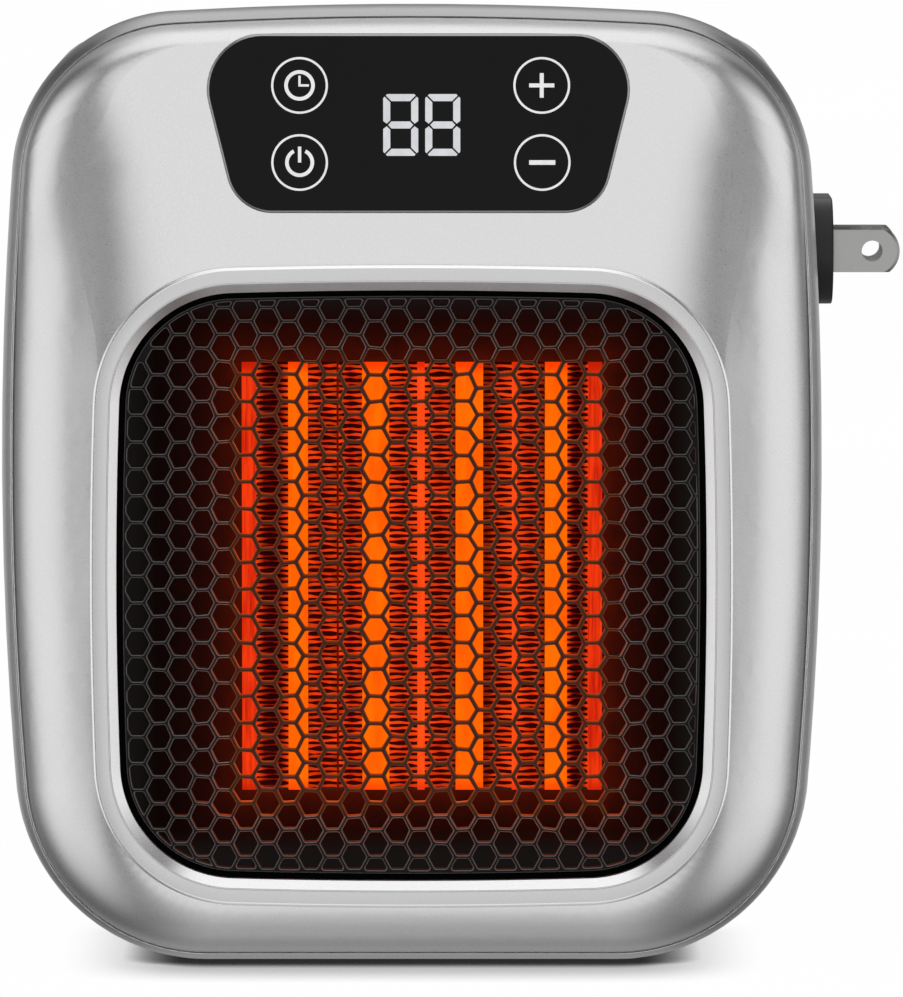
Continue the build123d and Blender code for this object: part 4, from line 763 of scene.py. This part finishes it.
def honeycomb():
    rl = math.hypot(HEX_PZ / 2, HEX_PX / 3)
    rd = (2 * HEX_PX / 3) * (HEX_PZ / 2) / rl - RIB_S / 2
    ch = HEX_PZ / 2 - RIB_H / 2
    cw = rd * rl / (HEX_PZ / 2)
    ct = (rd * rl - ch * HEX_PX / 3) / (HEX_PZ / 2)
    region = square_points(-1.38, n=20, m=4)
    if area(region) < 0:
        region = region[::-1]
    cells = []
    for i in range(-14, 18):
        for j in range(-16, 17):
            cx, cz = HEX_X + i * HEX_PX, HEX_Z + (j + (0.5 if i % 2 else 0.0)) * HEX_PZ
            if abs(cx) > 50 or abs(cz - OPEN_Z) > 50:
                continue
            h = [(cx + u, cz + v) for u, v in ((cw, 0.0), (ct, ch), (-ct, ch), (-cw, 0.0), (-ct, -ch), (ct, -ch))]
            c = clip(h, region)
            if len(c) < 3:
                continue
            c = simplify(c)
            if len(c) >= 3 and abs(area(c)) > 0.75:
                cells.append(c)
    edge = square_points(-1.05)
    n_e = len(edge)
    flat, hole_ids, inner = list(edge), [], []
    for c in cells:
        big = rounded(offset(c, BEVEL), 0.45)
        small = rounded(c, 0.36)
        hole_ids.append((len(flat), len(big)))
        flat += big
        inner.append(small)
    polys = [list(range(n_e))] + [list(range(s, s + n)) for s, n in hole_ids]
    v2, _, tri, ov, _, of = geometry.delaunay_2d_cdt([Vector(p) for p in flat], [], polys, 1, 1e-6, True)
    assert all(len(o) >= 1 for o in ov)
    back = [o[0] for o in ov]
    front_tri = [tuple(back[i] for i in t) for t, f in zip(tri, of) if list(f) == [0]]
    small_flat = []
    for s in inner:
        small_flat += s
    verts, faces, mi, kind = [], [], [], []
    n_all = len(flat)
    verts += [(x, GRILLE_Y0, z) for x, z in flat]                       # 0: front, outer edge and grown cells
    rim_in = square_points(-0.93)
    drop0 = len(verts)
    verts += [(x, GRILLE_Y0 + DROP, z) for x, z in rim_in]
    drop1 = len(verts)
    verts += [(x, GRILLE_Y0 + 0.75, z) for x, z in rim_in]
    out0 = len(verts)
    verts += [(x, GRILLE_Y0 + 0.75, z) for x, z in square_points(2.5)]
    out1 = len(verts)
    verts += [(x, GRILLE_Y1, z) for x, z in square_points(2.5)]
    w0 = len(verts)
    verts += [(x, GRILLE_Y0 + DROP, z) for x, z in small_flat]
    w1 = len(verts)
    verts += [(x, GRILLE_Y1, z) for x, z in small_flat]

    def put(fs, m, k):
        faces.extend(fs)
        mi.extend([m] * len(fs))
        kind.extend([k] * len(fs))

    def upright(t):
        a, b, c = (verts[i] for i in t)
        return (b[0] - a[0]) * (c[2] - a[2]) - (b[2] - a[2]) * (c[0] - a[0])

    front_tri = [t if upright(t) > 0 else t[::-1] for t in front_tri]       # facing -Y
    put(front_tri, 0, 0)
    put(ring_faces(0, drop0, n_e, True), 1, 4)
    put(ring_faces(drop0, drop1, n_e, True), 2, 5)
    put(ring_faces(drop1, out0, n_e, True), 3, 5)
    put(ring_faces(out0, out1, n_e, True), 0, 5)
    off = 0
    for s, n in hole_ids:
        put(ring_faces(s, w0 + off, n), 1, 1)
        put(ring_faces(w0 + off, w1 + off, n), 2, 2)
        off += n
    # back face: the front's triangles, turned over, on the walls' back edges and the outer edge
    back_of = {i: out1 + i for i in range(n_e)}
    off = 0
    for s, n in hole_ids:
        for k in range(n):
            back_of[s + k] = w1 + off + k
        off += n
    put([tuple(back_of[i] for i in t[::-1]) for t in front_tri], 0, 3)

    # a moulded grille isn't drawn with a ruler: its ribs wander by a tenth of a millimetre, less towards the border
    v = np.array(verts, float)
    gx, gz = v[:, 0].copy(), v[:, 2] - OPEN_Z
    calm = np.clip((0.93 - ((gx / OPEN_A) ** 6 + (gz / OPEN_B) ** 6) ** (1 / 6)) / 0.10, 0, 1)
    v[:, 0] += 0.048 * calm * (np.sin(1.31 * gx + 0.57 * gz + 0.4) + np.sin(0.46 * gx - 1.13 * gz + 2.1) + 0.6 * np.sin(1.93 * gz + 0.29 * gx + 1.3))
    v[:, 2] += 0.048 * calm * (np.sin(0.71 * gx + 1.22 * gz + 1.7) + np.sin(1.17 * gx - 0.38 * gz + 3.3) + 0.6 * np.sin(2.05 * gx - 0.31 * gz + 0.2))
    verts = [tuple(q) for q in v]

    # painted glow of the heater's light on each corner, from where it lies
    ox = np.clip(np.abs(v[:, 0] - (WIN_X0 + WIN_X1) / 2) - (WIN_X1 - WIN_X0) / 2, 0, None)
    oz = np.clip(np.abs(v[:, 2] - (WIN_Z0 + WIN_Z1) / 2) - (WIN_Z1 - WIN_Z0) / 2, 0, None)
    dist = np.hypot(ox, oz)
    h_core = np.exp(-dist / 2.4)
    h_edge = np.exp(-dist / 3.4)
    inside = np.clip(1 - dist / 1.2, 0, 1)
    table = {
        0: h_core[:, None] * np.array([0.036, 0.0085, 0.0022]),
        1: (h_edge * (1 - 0.45 * inside))[:, None] * np.array([0.22, 0.052, 0.014]) * (1 - np.outer(inside, [0.1, 0.30, 0.50])),
        2: h_edge[:, None] * np.array([0.62, 0.075, 0.008]),
        3: h_core[:, None] * np.array([0.4, 0.04, 0.0]),
        4: h_edge[:, None] * np.array([0.05, 0.012, 0.004]),
        5: h_edge[:, None] * 0.0 * np.array([1.0, 1.0, 1.0]),
    }
    cx, cz = (WIN_X0 + WIN_X1) / 2, (WIN_Z0 + WIN_Z1) / 2
    painted_glow_c = []
    for f, k in zip(faces, kind):
        g = table[k][list(f)].copy()
        if k == 2:
            # painted glow: a wall is painted lighter the more it faces the window
            p = v[list(f)].mean(0)
            a, b = v[f[0]], v[f[1]]
            nx, nz = -(b[2] - a[2]), (b[0] - a[0])
            ln = math.hypot(nx, nz) or 1.0
            to = np.array([cx - p[0], cz - p[2]])
            to = np.clip(to, -1, 1) * np.array([ox[f[0]] > 0, oz[f[0]] > 0])
            face = max(0.0, (nx * to[0] + nz * to[1]) / ln) if (ox[f[0]] > 0 or oz[f[0]] > 0) else 0.5
            deep = (v[list(f), 1] - v[:, 1].min()) / (v[:, 1].max() - v[:, 1].min())
            g *= face * (0.22 + 1.4 * deep[:, None])
        painted_glow_c.append(np.concatenate([g, np.ones((len(f), 1))], 1))
    # bevels next to the window take the painted-glow edge material
    for i, (f, k) in enumerate(zip(faces, kind)):
        if k == 1 and dist[list(f)].min() < 1.6:
            mi[i] = 4
    ob = new_piece("honeycomb", verts, faces, [RIB_CORE, RIB_EDGE_PAINTED_HIGHLIGHT, RIB_WALL, GAP_PAINTED_SHADE, RIB_EDGE_PAINTED_GLOW], mi, np.concatenate(painted_glow_c),
                   replaces="honeycomb_grille")
    print("honeycomb cells", len(cells), "faces", len(faces), "of", n_all)
    return ob


honeycomb()


# --- corrugated heating fins: thin wavy leaves, bright where they touch the bars
def fins():
    rng = np.random.RandomState(11)
    z0, z1 = WIN_Z0 + 0.1, WIN_Z1 - 0.1
    y0, y1 = -21.5, -9.0
    pitch = 0.855
    dark_mid = [0.95, 0.45, 0.5, 0.35, 0.35, 0.3, 0.35, 0.95]
    verts, faces, gl, mi = [], [], [], []
    hot, mid, cold = np.array([0.95, 0.060, 0.004]), np.array([0.66, 0.020, 0.002]), np.array([0.10, 0.001, 0.0015])
    deep = np.array([0.030, 0.0004, 0.0012])
    ns = 9
    for b, (x0, x1) in enumerate(FINS):
        n = int((z1 - z0) / pitch)
        h = (z1 - z0) / n
        run = rng.rand(4) * 6.28
        for k in range(n):
            zc = z0 + h * (k + 0.5) + rng.uniform(-0.05, 0.05)
            tilt = rng.uniform(-0.07, 0.07)
            amp = rng.uniform(-0.11, 0.11)
            lo_m, hi_m = rng.uniform(0.0, 0.20), rng.uniform(0.0, 0.20)
            bright = rng.uniform(0.72, 1.08)
            base = len(verts)
            cols = []
            for i in range(ns):
                t = i / (ns - 1)
                x = x0 + (x1 - x0) * t
                c = 1 - abs(2 * t - 1)                       # 0 at the ends, 1 in the middle
                thick = 0.245 - (0.13 * dark_mid[b] + 0.05) * c + 0.035 * math.sin(9 * t + 1.7 * k + run[2])
                z = zc + tilt * (t - 0.5) + amp * math.sin(math.pi * t) + 0.05 * math.sin(8.5 * t + 2.3 * k + run[3])
                back_in = 0.9 * c * dark_mid[b]
                for yy in (y0 + back_in, y1):
                    verts.append((x, yy, z - thick))
                    verts.append((x, yy, z + thick))
                w = np.clip(c * 1.9 * dark_mid[b] + 0.25 * math.sin(run[0] + 3 * k * 0.31 + 5 * t) * c, 0, 1)
                g = hot * (1 - w) + mid * w if dark_mid[b] < 0.6 else hot * (1 - w) + (mid * 0.25 + cold * 0.5) * w
                edge = 1.0
                if b in (4, 6):
                    edge = 1 - 0.75 * np.clip((t - 0.68 - hi_m * 0.5) / 0.2, 0, 1)
                if b in (5,):
                    edge = 0.25 + 0.75 * np.clip((t - 0.16 - lo_m * 0.5) / 0.2, 0, 1)
                if b in (1, 2):
                    edge = 1 - 0.55 * np.clip((abs(t - 0.5) - 0.30) / 0.12, 0, 1) * (0.5 + 0.5 * math.sin(run[1] + k))
                cols.append(g * bright * edge)
            for i in range(ns - 1):
                a, c2 = base + 4 * i, base + 4 * (i + 1)
                faces.append((a, c2, c2 + 1, a + 1))                          # front
                gl.append([cols[i], cols[i + 1], cols[i + 1], cols[i]])
                mi.append(0)
                for q in ((a + 1, c2 + 1, c2 + 3, a + 3), (a, a + 2, c2 + 2, c2)):   # top, bottom
                    faces.append(q)
                    front_is = {a, a + 1, c2, c2 + 1}
                    gl.append([(0.02 * cols[i if v < c2 else i + 1] + deep * 0.6) if v in front_is else deep * 0.2 for v in q])
                    mi.append(0)
                faces.append((a + 2, a + 3, c2 + 3, c2 + 2))                  # back
                gl.append([deep * 3] * 4)
                mi.append(0)
            a = base
            faces.append((a, a + 1, a + 3, a + 2))
            gl.append([cols[0] * 0.3] * 4)
            mi.append(0)
            a = base + 4 * (ns - 1)
            faces.append((a, a + 2, a + 3, a + 1))
            gl.append([cols[-1] * 0.3] * 4)
            mi.append(0)
    flat = [np.concatenate([np.asarray(c, float), [1.0]]) for f in gl for c in f]
    return new_piece("heating_fins", verts, faces, [FIN_LIT], mi, np.array(flat), replaces="ptc_fins")


fins()


# --- touch panel: a black lens whose rounded edge is grey metal, a painted highlight
def panel():
    prof = [(0.0, LENS_Y1), (0.0, -38.98), (-0.05, -39.13), (-0.14, -39.215), (-0.27, LENS_Y0)]
    verts, faces, mi = [], [], []
    n = len(panel_points(0.0))
    for d, y in prof:
        verts += [(x, y, z) for x, z in panel_points(d)]
    for k in range(len(prof) - 1):
        f = ring_faces(k * n, (k + 1) * n, n, True)
        faces += f
        mi += [1 if k >= 1 else 0] * n
    faces.append(tuple(range(4 * n, 5 * n)))
    faces.append(tuple(range(n))[::-1])
    mi += [0, 0]
    return new_piece("touch_lens", verts, faces, [M["panel_black"], PANEL_EDGE_PAINTED_HIGHLIGHT], mi, replaces="panel_lens", sharp=30)


panel()


# the heater's glow stays behind the grille: it isn't mirrored in the satin surfaces round it
for ob in bpy.data.objects:
    if ob.type == "MESH" and ob.name in ("honeycomb", "heating_fins", "heater_chamber", "heater_plate", "heater_bar", "heater_strip", *HOT):
        ob.visible_glossy = False


# ------------------------------------------------------------------ camera
def look_at(ob, target):
    ob.rotation_mode = "QUATERNION"
    ob.rotation_quaternion = (Vector(target) - ob.location).to_track_quat("-Z", "Y")


scene = bpy.context.scene
cam_data = bpy.data.cameras.new("camera")
cam = bpy.data.objects.new("camera", cam_data)
scene.collection.objects.link(cam)
DIST, ELEV = 1.5, math.radians(5.0)
TARGET = Vector((0.005895, -0.020, 0.06885))
cam.location = TARGET + DIST * Vector((0.0, -math.cos(ELEV), math.sin(ELEV)))
look_at(cam, TARGET)
cam_data.sensor_fit = "HORIZONTAL"
cam_data.sensor_width = 36.0
cam_data.lens = 10066.593 * 36.0 / 903.0
cam_data.clip_start, cam_data.clip_end = 0.05, 60.0
scene.camera = cam
scene.view_settings.view_transform = "Standard"
scene.view_settings.look = "None"

# ------------------------------------------------------------------ studio
# floor: a white light table with a painted contact shadow, darker only where something stands close over it
fm = bpy.data.meshes.new("floor")
fm.from_pydata([(-6, -6, 0), (6, -6, 0), (6, 6, 0), (-6, 6, 0)], [], [(0, 1, 2, 3)])
floor = bpy.data.objects.new("floor", fm)
scene.collection.objects.link(floor)
t = Tree("floor_white_painted_shadow")
t.t.nodes.remove(t.bsdf)


def occlusion(dist, samples=6):
    n = t.t.nodes.new("ShaderNodeAmbientOcclusion")
    n.samples = samples
    n.inputs["Distance"].default_value = dist
    n.inputs["Color"].default_value = (1, 1, 1, 1)
    return n.outputs["AO"]


# painted shadow: the floor's emission is darkened by short-range occlusion, kept to a patch under and in front of the
# heater
painted_near = t.range(occlusion(0.0028), 0.35, 0.95, 0.05, 1.0)
wide = t.range(occlusion(0.013), 0.30, 0.95, 0.50, 1.0)
px = t.math("MULTIPLY", t.math("ABSOLUTE", t.axis("X")), 1000.0)
under_shadow_mask = t.range(px, 34.0, 54.0, 1.0, 0.0, True)
front = t.range(t.math("MULTIPLY", t.axis("Y"), 1000.0), 6.0, 24.0, 1.0, 0.0, True)
dark = t.math("MULTIPLY", t.math("SUBTRACT", 1.0, t.math("MULTIPLY", painted_near, wide)), t.math("MULTIPLY", under_shadow_mask, front))
shade = t.math("SUBTRACT", 1.0, dark)
e = t.t.nodes.new("ShaderNodeEmission")
t.link(t.mix(t.noise(3.0, 2.0), (0.985, 0.985, 0.985), (1.0, 1.0, 1.0)), e.inputs[0])
t.link(shade, e.inputs[1])
t.link(e.outputs[0], t.out.inputs["Surface"])
fm.materials.append(t.mat)
bpy.ops.mesh.primitive_uv_sphere_add(segments=64, ring_count=32, radius=8.0, location=(0, 0, 0))
dome = bpy.context.object
dome.name = "backdrop"
dm = bpy.data.materials.new("backdrop_white")
dm.use_nodes = True
dm.node_tree.nodes.clear()
e = dm.node_tree.nodes.new("ShaderNodeEmission")
e.inputs[0].default_value = (1, 1, 1, 1)
e.inputs[1].default_value = 1.0
o = dm.node_tree.nodes.new("ShaderNodeOutputMaterial")
dm.node_tree.links.new(e.outputs[0], o.inputs[0])
dome.data.materials.append(dm)
for ob in (floor, dome):
    for f in ("visible_diffuse", "visible_glossy", "visible_transmission", "visible_volume_scatter", "visible_shadow"):
        setattr(ob, f, False)

# soft studio light as a world of large soft boxes
world = bpy.data.worlds.new("studio")
scene.world = world
world.use_nodes = True
wt = world.node_tree
wt.nodes.clear()


def wmath(op, a, b=0.0, clamp=False):
    n = wt.nodes.new("ShaderNodeMath")
    n.operation = op
    n.use_clamp = clamp
    for i, v in enumerate((a, b)):
        if isinstance(v, bpy.types.NodeSocket):
            wt.links.new(v, n.inputs[i])
        else:
            n.inputs[i].default_value = v
    return n.outputs[0]


def wstep(v, a, b, lo=0.0, hi=1.0):
    n = wt.nodes.new("ShaderNodeMapRange")
    n.interpolation_type = "SMOOTHSTEP"
    wt.links.new(v, n.inputs["Value"])
    n.inputs["From Min"].default_value = a
    n.inputs["From Max"].default_value = b
    n.inputs["To Min"].default_value = lo
    n.inputs["To Max"].default_value = hi
    return n.outputs["Result"]


wc = wt.nodes.new("ShaderNodeTexCoord")
ws = wt.nodes.new("ShaderNodeSeparateXYZ")
wt.links.new(wc.outputs["Generated"], ws.inputs[0])
dx, dy, dz = ws.outputs
ax = wmath("ABSOLUTE", dx)
spread = wstep(dz, 0.55, 0.95, 0.0, 0.34)
strip = wmath("MULTIPLY", wstep(wmath("SUBTRACT", ax, spread), 0.02, 0.46, 1.18, 0.0), wstep(dz, 0.30, 0.80, 1.0, 0.86))   # wide soft box, front and overhead
high = wstep(dz, 0.15, 0.65, 1.0, 0.30)
sides = wmath("MULTIPLY", wstep(ax, 0.44, 0.86, 0.0, 0.95), high)
roof = wstep(dy, 0.80, 0.98, 1.0, 0.02)
around = wstep(dy, -0.05, 0.68, 1.0, 0.10)
level = wmath("ADD", wmath("ADD", wmath("MULTIPLY", strip, roof), wmath("MULTIPLY", sides, around)), 0.055)
rear = wmath("MULTIPLY", wmath("MULTIPLY", wstep(dy, 0.72, 0.98, 0.0, 0.50), wstep(dz, -0.02, 0.25, 1.0, 0.12)), wstep(dz, -0.55, -0.12, 0.25, 1.0))
low = wstep(dz, -0.80, -0.05, 0.42, 1.0)
under_low = wstep(dz, -1.0, -0.78, 0.72, 1.0)
level = wmath("MULTIPLY", wmath("ADD", level, rear), low)
level = wmath("MULTIPLY", wmath("ADD", level, wstep(dz, -0.60, -0.10, 0.13, 0.0)), under_low)
behind = wmath("MULTIPLY", wstep(dy, 0.05, 0.60, 0.0, 0.56), wstep(dz, -0.45, -0.10, 1.0, 0.0))
level = wmath("MULTIPLY", level, wmath("SUBTRACT", 1.0, behind))
bg = wt.nodes.new("ShaderNodeBackground")
wt.links.new(level, bg.inputs["Strength"])
bg.inputs["Color"].default_value = (1, 1, 1, 1)
wo = wt.nodes.new("ShaderNodeOutputWorld")
wt.links.new(bg.outputs[0], wo.inputs[0])
